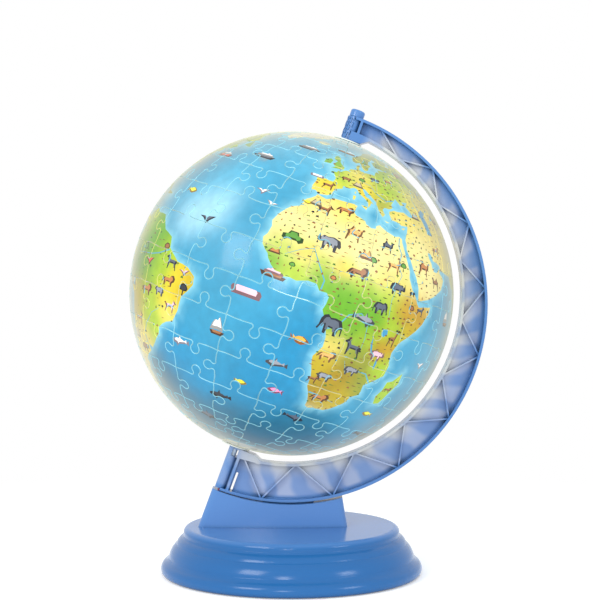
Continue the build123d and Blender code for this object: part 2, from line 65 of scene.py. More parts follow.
# the arm's outer edge is a circle off the ball's centre
ARM_RIM_CENTRE = CENTRE + 0.00665 * Vector((math.sin(math.radians(195)), 0, math.cos(math.radians(195))))

# ------------------------------------------------------------------ the ball's jigsaw
BALL_R = 0.100
SHELL = 0.0024
ROWS = 14
ROW_STEP = 180 / ROWS
COLUMNS = [6, 12] + [18] * (ROWS - 4) + [12, 6]
# latitude at which the pieces end round each pole cap
POLE_EDGE = 85.9
# how far the map is turned round the axis, in degrees
MAP_TURN = 2.0
# a knob's head, how far its middle stands out of the seam, and the fillet of its neck
KNOB_R, KNOB_OUT, KNOB_FILLET = 0.0030, 0.0046, 0.0015
# how far a seam bows out before and after its knob
SEAM_BOW = 0.0004
# a seam that is shorter than the first has no knob, and shorter than the second a centred one
LEAST_FOR_KNOB, LEAST_FOR_SHIFT = 0.0105, 0.02
# open air on each side of a seam
SEAM_GAP = 0.00006
# spacing of the loose points that let the map bend round the ball, in degrees
GRID_STEP = 2.6
# how far the flat map runs each way from longitude 0, so that pieces on its edge are whole
MAP_REACH = 186


def to_unit(lon, lat):
    """A unit vector in the map's own axes: x to 0 degrees, y to 90 east, z north."""
    a, b = math.radians(lon), math.radians(lat)
    return Vector((math.cos(b) * math.cos(a), math.cos(b) * math.sin(a), math.sin(b)))


def to_degrees(point, near):
    """Longitude and latitude of a unit vector, with the longitude on the same turn as near."""
    lon = math.degrees(math.atan2(point.y, point.x))
    lon += 360 * round((near - lon) / 360)
    return lon, math.degrees(math.asin(max(-1.0, min(1.0, point.z))))


def knob_path(length, centre, side, size):
    """A seam from 0 to length as (along, out) pairs: straight runs and one round knob on a narrow neck."""
    head, out, fillet = KNOB_R * size, KNOB_OUT * size, KNOB_FILLET * size
    reach = math.sqrt((head + fillet) ** 2 - (out - fillet) ** 2)
    rise = math.atan2(out - fillet, reach)
    bow = SEAM_BOW * side
    rest = length - centre - reach
    start = [((centre - reach) * k / 3, bow * math.sin(math.pi * k / 3)) for k in (1, 2)]
    finish = [(centre + reach + rest * k / 3, -bow * math.sin(math.pi * k / 3)) for k in (1, 2)]
    knob = []
    for k in range(4):
        turn = -math.pi / 2 + (rise + math.pi / 2) * k / 4
        knob.append((centre - reach + fillet * math.cos(turn), fillet + fillet * math.sin(turn)))
    for k in range(13):
        turn = math.pi + rise - (math.pi + 2 * rise) * k / 12
        knob.append((centre + head * math.cos(turn), out + head * math.sin(turn)))
    for k in range(1, 5):
        turn = math.pi - rise + (rise + math.pi / 2) * k / 4
        knob.append((centre + reach + fillet * math.cos(turn), fillet + fillet * math.sin(turn)))
    knob = [(along, side * off) for along, off in knob]
    return [(0.0, 0.0), *start, *knob, *finish, (length, 0.0)]


def plain_path(length):
    """A straight seam, divided so that it follows the ball."""
    return [(length * k / 4, 0.0) for k in range(5)]


def edge_lat(k):
    """Latitude of the seam above row k, counted from the north."""
    return max(-POLE_EDGE, min(POLE_EDGE, 90 - k * ROW_STEP))


def level_seams(k, dice):
    """The seam above row k as (west end, east end, points) runs between the corners of both rows."""
    above = COLUMNS[k - 1] if k else COLUMNS[0]
    below = COLUMNS[k] if k < ROWS else COLUMNS[-1]
    marks = sorted({360 * i / n - 180 for n in (above, below) for i in range(n + 1)})
    lat = edge_lat(k)
    runs = []
    for west, east in zip(marks, marks[1:]):
        length = BALL_R * math.cos(math.radians(lat)) * math.radians(east - west)
        polar = k in (1, ROWS - 1)
        has_knob = 0 < k < ROWS and length > LEAST_FOR_KNOB
        side = (1 if lat < 0 else -1) if polar else dice.choice((-1, 1))
        size = 0.78 if polar else 1.0
        middle = length / 2 + (0 if polar else dice.uniform(-0.002, 0.002))
        if length < LEAST_FOR_SHIFT:
            middle = length / 2
        path = knob_path(length, middle, side, size) if has_knob else plain_path(length)
        points = []
        for along, out in path:
            here = lat + math.degrees(out / BALL_R)
            scale = BALL_R * math.cos(math.radians(here))
            lon = west + (east - west) * middle / length + math.degrees((along - middle) / scale)
            points.append((lon, here))
        points[0], points[-1] = (west, lat), (east, lat)
        runs.append((west, east, points))
    return runs


def upright_seam(lon, k, dice):
    """The seam at a longitude down row k, from north to south."""
    high, low = edge_lat(k), edge_lat(k + 1)
    length = BALL_R * math.radians(high - low)
    size = 0.7 if k in (0, ROWS - 1) else 1.0
    middle = length / 2 + (0 if size < 1 else dice.uniform(-0.001, 0.001))
    points = []
    for along, out in knob_path(length, middle, dice.choice((-1, 1)), size):
        lat = high - math.degrees(along / BALL_R)
        points.append((lon + math.degrees(out / (BALL_R * math.cos(math.radians(lat)))), lat))
    return points


def piece_outlines():
    """For each row, the outlines of its pieces, anticlockwise seen from outside."""
    dice = random.Random(7)
    levels = [level_seams(k, dice) for k in range(ROWS + 1)]
    rows = []
    for k in range(ROWS):
        count = COLUMNS[k]
        uprights = [upright_seam(360 * i / count - 180, k, dice) for i in range(count)]
        uprights.append([(lon + 360, lat) for lon, lat in uprights[0]])
        pieces = []
        for i in range(count):
            west, east = 360 * i / count - 180, 360 * (i + 1) / count - 180
            top = [p for a, b, run in levels[k] if a > west - 1 and b < east + 1 for p in run[1:]]
            foot = [p for a, b, run in levels[k + 1] if a > west - 1 and b < east + 1 for p in run[1:]]
            # down the west side, along the foot, up the east side and back along the top
            pieces.append(uprights[i] + foot + uprights[i + 1][::-1][1:] + top[::-1][1:])
        rows.append(pieces)
    return rows


def draw_in(loop, distance):
    """The loop moved inwards over the ball by a distance, with mitred corners."""
    units = [to_unit(lon, lat) for lon, lat in loop]
    moved = []
    for before, here, after, (lon, _) in zip(units[-1:] + units[:-1], units, units[1:] + units[:1], loop):
        left_a = here.cross(here - before).normalized()
        left_b = here.cross(after - here).normalized()
        mitre = (left_a + left_b) / max(0.35, 1 + left_a.dot(left_b))
        moved.append(to_degrees((here + mitre * (distance / BALL_R)).normalized(), lon))
    return moved


# ------------------------------------------------------------------ the map, (longitude, latitude) in degrees
LAND = {
    "africa": [
        (-5.9, 35.8), (-2, 35.1), (1, 36.5), (5, 36.8), (9.8, 37.3), (11, 37), (10.6, 35.5), (10.1, 34.2),
        (11.2, 33.2), (13.2, 32.9), (15.2, 32.3), (15.7, 31.4), (18, 30.6), (20, 31), (20.2, 32.2),
        (21.7, 32.9), (23.2, 32.2), (25, 31.6), (29, 30.9), (31, 31.5), (32.5, 31.1), (32.6, 29.9),
        (33.5, 28), (35.5, 24), (37.2, 21), (37.4, 18.8), (39.3, 15.8), (42.5, 12.7), (43.3, 11.5),
        (44.5, 10.5), (47, 11.1), (51.2, 11.9), (50.8, 9.4), (48.5, 5.5), (46, 2.6), (43, -0.3), (41, -2),
        (39.7, -4), (38.9, -6.5), (39.5, -9), (40.5, -11), (40.7, -14.8), (38, -17.3), (36, -19),
        (34.8, -20), (35.5, -22.5), (35.4, -24), (32.9, -25.6), (32.6, -28), (31, -30), (28.5, -32.5),
        (26.3, -33.8), (22, -34.1), (20, -34.8), (18.4, -34.1), (18.2, -32), (16.5, -28.7), (15, -26.6),
        (14.4, -22.8), (12.5, -18.5), (11.8, -16), (13.7, -12), (13.3, -8.7), (12.2, -6), (11, -3.8),
        (9, -0.8), (9.5, 1.2), (9.6, 3.5), (8.5, 4.6), (6, 4.4), (4.5, 6.2), (1.5, 6.2), (-2, 4.9),
        (-4.5, 5.2), (-7.6, 4.4), (-9.5, 5.6), (-11.5, 7), (-13.2, 8.8), (-13.8, 10), (-15.2, 11),
        (-16.7, 12.5), (-17.4, 14.7), (-16.5, 16.2), (-16.2, 19), (-17, 21), (-16, 23.8), (-14.5, 26.2),
        (-12.9, 27.9), (-10.5, 29.1), (-9.7, 30.6), (-9.2, 32.5), (-7.5, 33.7), (-6.3, 34.8),
    ],
    "madagascar": [
        (49.3, -12), (50.4, -15.8), (49.5, -18), (47.5, -24.8), (45, -25.5), (43.4, -22.5), (44.4, -19.8),
        (44.2, -16.5), (46.5, -15.6), (48, -13.6),
    ],
    "eurasia": [
        (-9, 37), (-9.4, 38.8), (-8.8, 41.5), (-9.2, 43.1), (-5.5, 43.6), (-1.8, 43.4), (-1.2, 45.5),
        (-2.5, 47.3), (-4.6, 48.3), (-1.6, 48.7), (-1.4, 49.7), (0.3, 49.6), (1.6, 50.8), (4, 51.8),
        (4.8, 53), (7, 53.6), (8.7, 53.9), (8.2, 56), (9.8, 57.5), (10.5, 57.5), (10.3, 56.2), (9.8, 54.8),
        (11, 54.1), (14, 54.1), (18.6, 54.7), (20, 54.6), (21.1, 56.5), (22.5, 57.7), (24.3, 57.3),
        (23.6, 59), (28, 59.6), (30, 60), (26, 60.4), (22.5, 60), (21.4, 61.5), (21.3, 63), (25.3, 65),
        (22.2, 65.7), (21, 64.5), (17.7, 62.3), (17.2, 60.6), (18.8, 59.8), (16.5, 57.8), (16, 56.2),
        (14.2, 55.4), (12.8, 55.6), (11.3, 58.5), (10.6, 59.3), (8, 58.1), (5.6, 58.8), (5, 61.2),
        (7, 62.9), (10.5, 64.4), (13, 66), (15, 68.3), (19, 69.8), (25, 71), (30, 70.4), (37, 68.9),
        (41, 67.4), (38, 66), (35, 64.5), (40, 64.6), (42, 66.4), (44, 68.3), (54, 68.7), (60, 69),
        (67, 69), (68.5, 71.5), (72.5, 72.8), (73.5, 68.2), (75, 72), (80.5, 72.2), (87, 75), (98, 76.2),
        (104.3, 77.7), (113, 75.8), (110, 74), (123, 73), (128, 72), (140, 72.4), (150, 71.5), (160, 70),
        (178, 69.2), (190, 66.2), (187, 64.5), (177.5, 64.7), (179, 62.5), (170, 60.2), (163.5, 59.8),
        (162, 56.5), (160, 53), (156.8, 51), (155.7, 56.8), (161, 60.3), (163.5, 62.5), (157, 61.7),
        (155, 59.3), (143, 59.3), (135.3, 54.8), (140.8, 53), (140, 48.5), (135.3, 44.2), (131, 42.8),
        (127.5, 39.8), (129.4, 36), (126.5, 34.6), (126.5, 37.2), (125, 39.6), (121.5, 39), (121.8, 40.8),
        (118, 39), (119, 37.3), (122.5, 37), (119.3, 35), (121.8, 31.7), (121.8, 28.5), (119.5, 25.4),
        (114.5, 22.4), (110.5, 21.2), (108.3, 21.6), (105.8, 19), (107.3, 16.3), (109.3, 12.8),
        (106.8, 10.4), (105, 8.7), (104.9, 10.4), (102.2, 12.2), (100.7, 13.4), (99.3, 10), (100.5, 7.2),
        (103.4, 4), (104.2, 1.4), (101.4, 2.8), (100.3, 5.5), (98.3, 8), (98.6, 12), (97.6, 16.3),
        (95.3, 15.8), (94.4, 18), (92.3, 20.8), (91.8, 22.6), (89, 21.7), (87, 21.4), (86, 19.8),
        (82.3, 16.7), (80.2, 15.2), (80.3, 13), (79.8, 10.3), (77.6, 8.1), (76.3, 9.8), (74.5, 13.8),
        (72.9, 18.5), (72.7, 21.2), (70.5, 20.8), (69, 22.3), (67.2, 24.8), (61.6, 25.2), (57.3, 25.7),
        (56.4, 27.1), (51.5, 27.9), (50, 30.2), (48, 30), (48.5, 28.3), (50.2, 26.6), (50.8, 24.8),
        (51.6, 25.9), (51.6, 24.2), (54, 24.2), (56.3, 26.2), (56.4, 24.5), (58.6, 23.6), (59.8, 22.4),
        (57.8, 19), (55.2, 17.4), (52.2, 15.6), (48.7, 14), (45, 12.8), (43.5, 12.7), (42.7, 16.5),
        (40.8, 19.8), (39.1, 21.8), (37.3, 24.8), (35, 28), (35, 29.5), (34.3, 31.3), (35.1, 33.1),
        (35.9, 35.8), (36, 36.7), (32.5, 36.1), (30.6, 36.8), (27.4, 36.8), (26.3, 38.4), (26.2, 39.8),
        (29, 41), (31.3, 41.2), (35, 42), (38.3, 41), (41.5, 41.5), (39.5, 43.6), (37.3, 44.9),
        (39.2, 47.1), (35, 46.3), (36.5, 45.3), (33.6, 44.5), (32.6, 45.5), (31, 46.6), (29.7, 45.2),
        (28, 43.3), (28.1, 41.6), (26.3, 40.8), (23.8, 40.6), (22.8, 39.5), (24, 37.8), (22.8, 36.5),
        (21.3, 37.8), (20.3, 39.4), (19.4, 41.6), (16.5, 43.4), (13.7, 45.3), (12.3, 45.2), (14.2, 42.3),
        (16.1, 41.8), (18.4, 40.1), (17, 40.4), (16.6, 39), (15.8, 38), (15.6, 39.9), (13.8, 41.2),
        (11, 42.5), (9.8, 44), (8.3, 44.2), (6.2, 43.1), (3.2, 43.2), (3.1, 41.8), (0.7, 40.8),
        (-0.4, 39.3), (-0.7, 37.8), (-2.2, 36.8), (-5.4, 36.1), (-7.4, 37.2),
    ],
    "britain": [
        (-5.5, 50.1), (1.2, 51.1), (1.6, 52.6), (-0.3, 53.8), (-1.5, 55), (-2, 57.5), (-4, 58.5),
        (-5.5, 58), (-5.7, 56), (-3.2, 54.9), (-4.5, 53.1), (-4.6, 52), (-3.2, 51.4),
    ],
    "ireland": [(-6.1, 53.5), (-6.4, 52.2), (-10, 51.8), (-9.8, 54), (-7.5, 55.3), (-5.7, 54.6)],
    "iceland": [(-22.5, 64), (-18.5, 63.4), (-13.7, 64.9), (-16, 66.4), (-22, 66.3), (-24, 65.3)],
    "spitsbergen": [(11, 79.5), (14, 77), (17, 76.6), (24, 80.1), (17, 80)],
    "novaya_zemlya": [(52, 71), (57, 70.7), (58, 73.5), (68, 76.8), (60, 76)],
    "sicily": [(12.5, 38), (15.5, 38.2), (15, 36.7)],
    "sardinia": [(8.4, 40.8), (9.7, 40.9), (9.4, 39.2), (8.5, 39)],
    "corsica": [(8.7, 42.4), (9.5, 42.9), (9.2, 41.5)],
    "crete": [(23.6, 35.5), (26.2, 35.2), (24.8, 34.9)],
    "cyprus": [(32.4, 35), (34.4, 35.6), (33.5, 34.6)],
    "honshu": [
        (131, 34.2), (135.5, 33.6), (140.3, 35.3), (141.8, 39.5), (141, 41.3), (139.6, 38.5), (136.8, 36.9),
        (132.8, 35.5),
    ],
    "hokkaido": [(140.2, 42), (145.3, 43.3), (141.8, 45.4)],
    "kyushu": [(130, 33.3), (131.8, 33.3), (130.7, 31.2)],
    "sakhalin": [(142, 46.5), (143.5, 49), (143, 54), (141.8, 51)],
    "taiwan": [(120.2, 23), (121.5, 25.2), (120.9, 22)],
    "hainan": [(108.8, 19), (110.8, 20), (109.8, 18.3)],
    "ceylon": [(80, 9.5), (81.7, 7.2), (80.4, 6), (79.8, 7.8)],
    "sumatra": [
        (95.3, 5.6), (98.5, 3.8), (103.5, -0.8), (106, -3.2), (105.6, -5.8), (102.2, -4), (98.7, 1),
    ],
    "java": [(105.2, -6.8), (108.6, -6.7), (112.7, -6.9), (114.4, -8.6), (110, -8.1)],
    "borneo": [
        (109, 1.5), (111.2, 2.5), (113.2, 3.3), (116.8, 6.9), (119, 5.2), (117.8, 1), (116.4, -3.5),
        (114.4, -4), (110.3, -2.8),
    ],
    "celebes": [
        (120, 1), (125, 1.5), (121, 0.2), (123.3, -1), (121.8, -2), (122.5, -5), (120.3, -5.5), (119, -3),
    ],
    "new_guinea": [
        (131, -0.8), (134.2, -0.9), (135.2, -3.2), (137.8, -1.5), (141, -2.6), (145.8, -5), (147.8, -6.2),
        (150.7, -10.3), (147, -9.5), (143.5, -8.6), (141, -9), (138, -8.3), (137.9, -5.4), (133, -4),
    ],
    "luzon": [(120.7, 18.5), (122.3, 17), (121.5, 14.2), (124, 12.6), (120.4, 14.2)],
    "mindanao": [(122.2, 8), (125.5, 9.8), (126.5, 7.3), (124, 6.2)],
    "australia": [
        (113.7, -22.5), (114.2, -26.2), (115.7, -32), (115, -34.2), (118, -35), (123.8, -33.9),
        (129, -31.6), (131.5, -31.5), (135.5, -34.8), (137.8, -32.6), (138.2, -35.6), (140.5, -38),
        (143.6, -38.8), (146.5, -39), (150, -37.3), (151.3, -33.5), (153.4, -28.3), (150.8, -23.5),
        (146.3, -19), (145.5, -15), (143.6, -14.3), (142.5, -10.8), (141.4, -14), (141.2, -16.8),
        (139.2, -17.4), (135.5, -15), (136.8, -12.2), (132.6, -11.4), (130.2, -13), (128.2, -15),
        (125, -14.8), (122.3, -18.2), (118, -20.4),
    ],
    "tasmania": [(144.8, -40.8), (148.2, -40.9), (147.8, -43.2), (146, -43.5)],
    "north_island": [
        (173, -34.6), (175.6, -36.8), (178.4, -37.8), (176.9, -39.6), (175.2, -41.5), (173.9, -39.3),
        (174.7, -37.5),
    ],
    "south_island": [
        (172.8, -40.6), (174.2, -41.8), (170.8, -45.8), (168.4, -46.6), (166.6, -45.8), (170.8, -42.8),
    ],
    "north_america": [
        (-168, 65.6), (-162, 66.5), (-166.5, 68.3), (-156.7, 71.2), (-141, 69.7), (-128, 70.3),
        (-115, 68.2), (-108, 68), (-96, 68.2), (-94, 71.8), (-88, 68.5), (-82, 69.2), (-86, 66.2),
        (-93.5, 61), (-94.5, 58.8), (-92.5, 57), (-85, 55.3), (-82.3, 52.9), (-79, 51.5), (-79, 54.6),
        (-76.6, 57.2), (-78.4, 60.8), (-77.5, 62.5), (-72, 61.6), (-69.5, 59), (-65, 60.2), (-61.5, 56.5),
        (-56, 52.6), (-60, 50.2), (-66.5, 50.2), (-70, 47.2), (-65, 48.9), (-64.8, 46.8), (-61.2, 45.4),
        (-66, 43.6), (-67, 44.8), (-70.6, 43), (-70, 41.7), (-74, 40.5), (-76, 37), (-75.7, 35.3),
        (-79, 33.2), (-81.4, 30.8), (-80.2, 26.5), (-81, 25.2), (-82.7, 27.8), (-84, 30), (-89.5, 30.2),
        (-91.5, 29.3), (-94.8, 29.4), (-97.3, 27.3), (-97.7, 22.5), (-96, 19.2), (-94.5, 18.2),
        (-91.5, 18.5), (-90.4, 21), (-87, 21.5), (-88, 18.4), (-88.8, 15.9), (-83.4, 15), (-83.8, 11),
        (-81.5, 8.9), (-79.5, 9.5), (-77.3, 8.5), (-77.8, 7), (-80.2, 7.4), (-82.8, 8.2), (-85.8, 10.2),
        (-87.5, 13), (-92, 14.5), (-95, 16.2), (-100, 17), (-105.5, 20), (-105.6, 22.7), (-109.3, 25.8),
        (-112.6, 29.6), (-114.6, 31.6), (-112.6, 28), (-109.6, 23.1), (-112.2, 25), (-115, 28),
        (-117.1, 32.5), (-120.6, 34.6), (-122.4, 37.2), (-124.3, 40.3), (-124, 46), (-124.6, 48.3),
        (-123, 49), (-127.8, 51.5), (-130.5, 54.5), (-135.5, 58.5), (-141, 60), (-146.5, 60.8),
        (-151.5, 59.3), (-154.5, 58.5), (-160, 55.8), (-164.5, 54.7), (-158, 57.8), (-162, 58.8),
        (-165, 61.5), (-161.5, 64.2), (-166, 64.6),
    ],
    "newfoundland": [(-59.2, 47.8), (-57, 51), (-55.6, 50), (-53, 47), (-55.5, 47)],
    "vancouver": [(-128, 50.7), (-125, 50), (-123.5, 48.4)],
    "greenland": [
        (-73, 78.2), (-64, 81), (-50, 82.4), (-30, 83.6), (-17, 81), (-19.5, 76), (-22, 71), (-26, 68.6),
        (-37, 65.7), (-43, 60), (-49, 61.5), (-53.5, 67), (-54.5, 71.5), (-60, 76),
    ],
    "baffin": [
        (-89, 73.5), (-80, 73.5), (-72, 71), (-62, 66.5), (-66, 62), (-73, 65), (-78, 70), (-88, 70.8),
    ],
    "ellesmere": [(-89, 76.5), (-77, 78), (-62, 82.5), (-90, 81.8)],
    "victoria": [(-117, 70), (-105, 69), (-105, 72.6), (-118, 73)],
    "banks": [(-125, 72), (-119, 71.5), (-117, 74.5), (-124, 74.2)],
    "cuba": [(-84.8, 21.9), (-80, 23.1), (-74.2, 20.2), (-77.5, 19.9), (-80.5, 21.8)],
    "hispaniola": [(-74.3, 19.8), (-68.4, 18.6), (-74.4, 18.3)],
    "south_america": [
        (-77.3, 8.5), (-75.5, 10.8), (-71.8, 12.3), (-68, 10.8), (-62, 10.7), (-57, 6), (-51.5, 4.3),
        (-50, 0.8), (-44.3, -2.6), (-39, -3.2), (-35.4, -5.3), (-34.9, -8), (-38.6, -13), (-39.2, -18),
        (-41, -22), (-44.5, -23.2), (-48.5, -26), (-48.9, -28.6), (-52.2, -32.3), (-54.9, -34.9),
        (-58, -34), (-57, -36.5), (-62, -39), (-65, -41), (-63.8, -42.6), (-67.3, -45.7), (-65.8, -47.5),
        (-69, -50.5), (-68.4, -52.4), (-65.5, -54.8), (-70, -55.3), (-74.5, -51.5), (-75.5, -47),
        (-73, -42), (-73.5, -37.2), (-71.5, -31), (-70.4, -24), (-70.2, -18.5), (-76.2, -14), (-79.8, -7.2),
        (-81.2, -4.8), (-80.2, -2.5), (-80, 0.5), (-77.4, 4), (-77.9, 7),
    ],
    "antarctica": [
        (-200, -77.5), (-180, -78), (-160, -78.2), (-150, -76), (-135, -74.5), (-110, -74.5), (-90, -72.8),
        (-75, -71), (-64, -66), (-57.5, -63.3), (-61, -69), (-62, -75), (-45, -78), (-30, -76.5),
        (-15, -72), (0, -70), (20, -70), (40, -69), (55, -66.5), (70, -69), (90, -66.8), (110, -66.3),
        (130, -66.3), (145, -67), (160, -69.5), (170, -72.5), (165, -77.5), (180, -78), (200, -78.2),
        (200, -90), (-200, -90),
    ],
}
LAKES = {
    "caspian": [
        (47, 45), (51, 46.9), (53, 45.4), (51, 44.5), (52.8, 41.5), (54, 37.2), (50.5, 37.2), (49, 40.5),
        (47.6, 43),
    ],
    "victoria_lake": [(31.8, -0.2), (33.6, 0.3), (34, -1.4), (32.8, -2.6), (31.7, -2)],
    "tanganyika": [(29.2, -3.4), (29.8, -5.5), (31, -8.6), (30.4, -8.4), (29.2, -6)],
    "malawi": [(34, -9.6), (34.9, -11.5), (34.9, -14), (34.3, -13), (34, -11.3)],
    "chad": [(13.4, 13.8), (14.8, 13.6), (14.4, 12.7), (13.6, 12.9)],
    "aral": [(58.4, 45), (60.5, 46.4), (61, 44.4), (59, 43.8)],
    "baikal": [(104, 51.5), (109.5, 55.6), (108.7, 53), (105.5, 51.5)],
    "ladoga": [(30.3, 60.6), (32, 61.4), (32.8, 60.5), (31.3, 59.9)],
    "superior": [(-92, 46.8), (-88, 48.7), (-84.8, 46.6)],
    "michigan": [(-87.8, 42), (-86.3, 42.2), (-85.2, 45.8), (-87.6, 44.8)],
    "huron": [(-83.8, 45.6), (-80.4, 45), (-82.2, 43.2)],
    "erie": [(-83, 41.6), (-79, 42.9), (-80.5, 42)],
    "winnipeg": [(-98.8, 53.6), (-96.6, 50.6), (-97, 53)],
    "great_bear": [(-124, 66), (-119, 67), (-118, 65.4)],
    "great_slave": [(-116.5, 61), (-110, 62.8), (-113, 61)],
}
RIVERS = {
    "nile": [
        (31.2, 31), (31, 28), (32.7, 25.5), (31.5, 21.5), (33.8, 18.5), (32.5, 15.5), (31.5, 9.5),
        (32.4, 2.5),
    ],
    "niger": [(6.3, 4.6), (6.5, 8), (3.5, 12), (0, 16.8), (-4, 15), (-8.5, 11.8)],
    "congo": [(12.6, -6), (15.5, -4), (18, 0.5), (22, 2.2), (25.3, 0), (26.3, -5), (26.5, -10)],
    "zambezi": [(36.2, -18.6), (33, -16), (28.8, -16), (25, -17.8), (23, -14)],
    "orange": [(16.6, -28.5), (20, -28.6), (25, -29.2), (28, -29.8)],
    "amazon": [(-50, 0.2), (-55, -2), (-60, -3.2), (-66, -3.6), (-73.5, -4.2)],
    "parana": [(-58.5, -34), (-60, -30.5), (-57.5, -26.5), (-53.5, -22), (-49, -19.5)],
    "volga": [(47.6, 46), (45.5, 49.5), (49, 54), (44, 56.5), (38, 58)],
    "danube": [(29.5, 45.2), (25, 43.8), (19.5, 45.5), (17, 48.2), (10, 48.6)],
    "ob": [(72, 67.5), (66, 64), (69, 60.5), (80, 58), (84, 53)],
    "yenisei": [(83, 70.5), (87, 65), (90, 60), (92, 55)],
    "lena": [(127, 71.5), (125, 66), (129, 62), (115, 60), (106, 55)],
    "ganges": [(90, 22.6), (85, 25.5), (78.5, 29)],
    "yangtze": [(121, 31.6), (114, 30.2), (105, 29), (100, 27)],
    "mississippi": [(-90, 29.6), (-91, 34), (-89.5, 38), (-92, 43.5), (-95, 47)],
    "missouri": [(-90.3, 38.8), (-96, 41), (-103, 47.8), (-110, 47.5)],
    "murray": [(139, -35.2), (143, -34.6), (147.5, -36)],
}

# paints of the map, as the printer mixes them: 0 to 255 per channel
INK = {
    "sand": (252, 238, 160),
    "straw": (243, 222, 112),
    "yellow": (246, 216, 40),
    "lime": (172, 208, 48),
    "leaf": (106, 180, 40),
    "forest": (96, 150, 62),
    "olive": (152, 160, 54),
    "ochre": (200, 176, 30),
    "earth": (174, 142, 24),
    "rust": (204, 156, 26),
    "snow": (238, 244, 240),
    "tundra": (196, 204, 150),
    "sea": (62, 158, 196),
    "bright_sea": (92, 184, 218),
    "pale_sea_painted_highlight": (172, 224, 242),
    "deep_sea": (22, 144, 194),
    "abyss_and_painted_shade": (44, 112, 140),
    "shore": (150, 220, 236),
    "lake": (70, 160, 205),
    "river": (96, 176, 200),
}
# blots of land paint: (longitude, latitude, reach in degrees, ink)
LAND_BLOTS = [
    (0, 24, 11, "sand"), (14, 24, 9, "sand"), (-10, 21, 7, "sand"), (26, 22, 8, "sand"),
    (-6, 31, 5, "straw"), (8, 33, 5, "yellow"), (20, 27, 7, "sand"), (-10, 15, 4, "lime"),
    (-2, 16, 3, "yellow"), (4, 13, 3, "lime"), (12, 15, 3, "yellow"), (20, 12, 4, "lime"),
    (25, 17, 3, "straw"), (-12, 9, 3.5, "leaf"), (-4, 7.5, 3.5, "lime"), (6, 8, 4, "leaf"),
    (14, 5, 5, "leaf"), (22, 5, 5, "leaf"), (20, -2, 6, "leaf"), (27, 2, 4, "leaf"), (14, -2, 4, "leaf"),
    (26, -5, 4, "lime"), (31, 10, 5, "lime"), (33, 16, 5, "straw"), (38, 9, 4, "rust"), (45, 8, 4, "rust"),
    (43, 3, 3, "ochre"), (34, 0, 4, "lime"), (35, -6, 4, "rust"), (17, -10, 4, "straw"),
    (26, -12, 5, "olive"), (38, -13, 4, "lime"), (16, -18, 4, "ochre"), (24, -20, 5, "earth"),
    (33, -20, 4, "olive"), (19, -28, 4, "earth"), (27, -28, 5, "ochre"), (47, -19, 6, "lime"),
    (-4, 40, 4, "yellow"), (2, 46, 4, "lime"), (10, 50, 5, "straw"), (15, 44, 4, "yellow"),
    (12, 62, 7, "olive"), (25, 50, 6, "lime"), (22, 42, 4, "olive"), (35, 56, 8, "lime"),
    (33, 39, 5, "straw"), (-4, 54, 5, "leaf"), (27, 65, 6, "forest"), (48, 50, 7, "straw"),
    (46, 24, 9, "sand"), (58, 32, 7, "straw"), (62, 46, 9, "straw"), (60, 62, 10, "forest"),
    (85, 60, 12, "leaf"), (110, 62, 12, "forest"), (135, 64, 10, "olive"), (100, 73, 8, "tundra"),
    (150, 68, 8, "tundra"), (76, 22, 6, "lime"), (74, 27, 5, "straw"), (79, 12, 5, "leaf"),
    (88, 33, 8, "ochre"), (88, 41, 7, "sand"), (104, 43, 7, "straw"), (112, 30, 7, "lime"),
    (102, 18, 6, "leaf"), (114, 0, 10, "leaf"), (138, 37, 6, "lime"), (140, -5, 6, "forest"),
    (125, 47, 7, "olive"), (122, -25, 7, "rust"), (134, -24, 7, "ochre"), (145, -24, 6, "straw"),
    (148, -34, 6, "lime"), (132, -14, 5, "leaf"), (172, -41, 6, "leaf"), (-100, 60, 12, "forest"),
    (-75, 53, 10, "leaf"), (-115, 55, 9, "olive"), (-100, 40, 8, "straw"), (-112, 38, 7, "rust"),
    (-85, 36, 8, "leaf"), (-105, 27, 7, "ochre"), (-90, 17, 6, "leaf"), (-150, 64, 9, "olive"),
    (-105, 69, 9, "tundra"), (-40, 73, 14, "snow"), (-80, 78, 10, "snow"), (-62, -3, 9, "leaf"),
    (-50, -2, 5, "lime"), (-52, -8, 6, "lime"), (-42, -7, 4.5, "yellow"), (-38, -9, 4, "ochre"),
    (-46, -14, 5, "yellow"), (-45, -20, 4, "straw"), (-54, -20, 6, "lime"), (-52, -27, 5, "lime"),
    (-60, -33, 6, "straw"), (-66, -18, 6, "ochre"), (-68, -44, 8, "straw"), (-70, -5, 6, "forest"),
    (-74, 5, 5, "lime"), (0, -80, 25, "snow"), (90, -78, 25, "snow"), (180, -80, 25, "snow"),
    (-90, -80, 25, "snow"), (-18, 65, 6, "tundra"), (20, 79, 8, "snow"),
]
# blots of sea paint, partly the sea's own tones and partly painted light and shade: a painted highlight as a
# pale patch in the North Atlantic, the sea painted lighter in the north and darker in the south where the
# ball is in shade
SEA_BLOTS = [
    (-41, 19, 8, "pale_sea_painted_highlight"), (-46, 30, 9, "bright_sea"), (-28, 40, 9, "sea"), (-45, 52, 14, "bright_sea"),
    (-20, 56, 12, "bright_sea"), (-24, 18, 8, "sea"), (-30, 3, 9, "sea"), (-12, -5, 12, "sea"),
    (0, -18, 12, "deep_sea"), (-22, -22, 12, "sea"), (-30, -34, 11, "deep_sea"), (-5, -32, 11, "deep_sea"),
    (28, -50, 9, "abyss_and_painted_shade"), (-10, -56, 11, "abyss_and_painted_shade"), (-45, -50, 9, "abyss_and_painted_shade"), (60, -30, 16, "sea"),
    (75, -5, 14, "bright_sea"), (60, 12, 8, "sea"), (90, -35, 18, "deep_sea"), (150, 20, 20, "sea"),
    (-170, 25, 20, "bright_sea"), (-140, 0, 20, "sea"), (-110, -30, 20, "deep_sea"), (-160, -30, 20, "sea"),
    (-130, 40, 14, "sea"), (170, 50, 14, "deep_sea"), (18, 36, 8, "sea"), (0, 75, 14, "bright_sea"),
    (-60, 35, 10, "sea"), (0, -64, 14, "abyss_and_painted_shade"), (90, -60, 18, "deep_sea"), (-120, -60, 18, "deep_sea"),
    (-70, 25, 8, "bright_sea"), (130, -50, 14, "sea"),
]

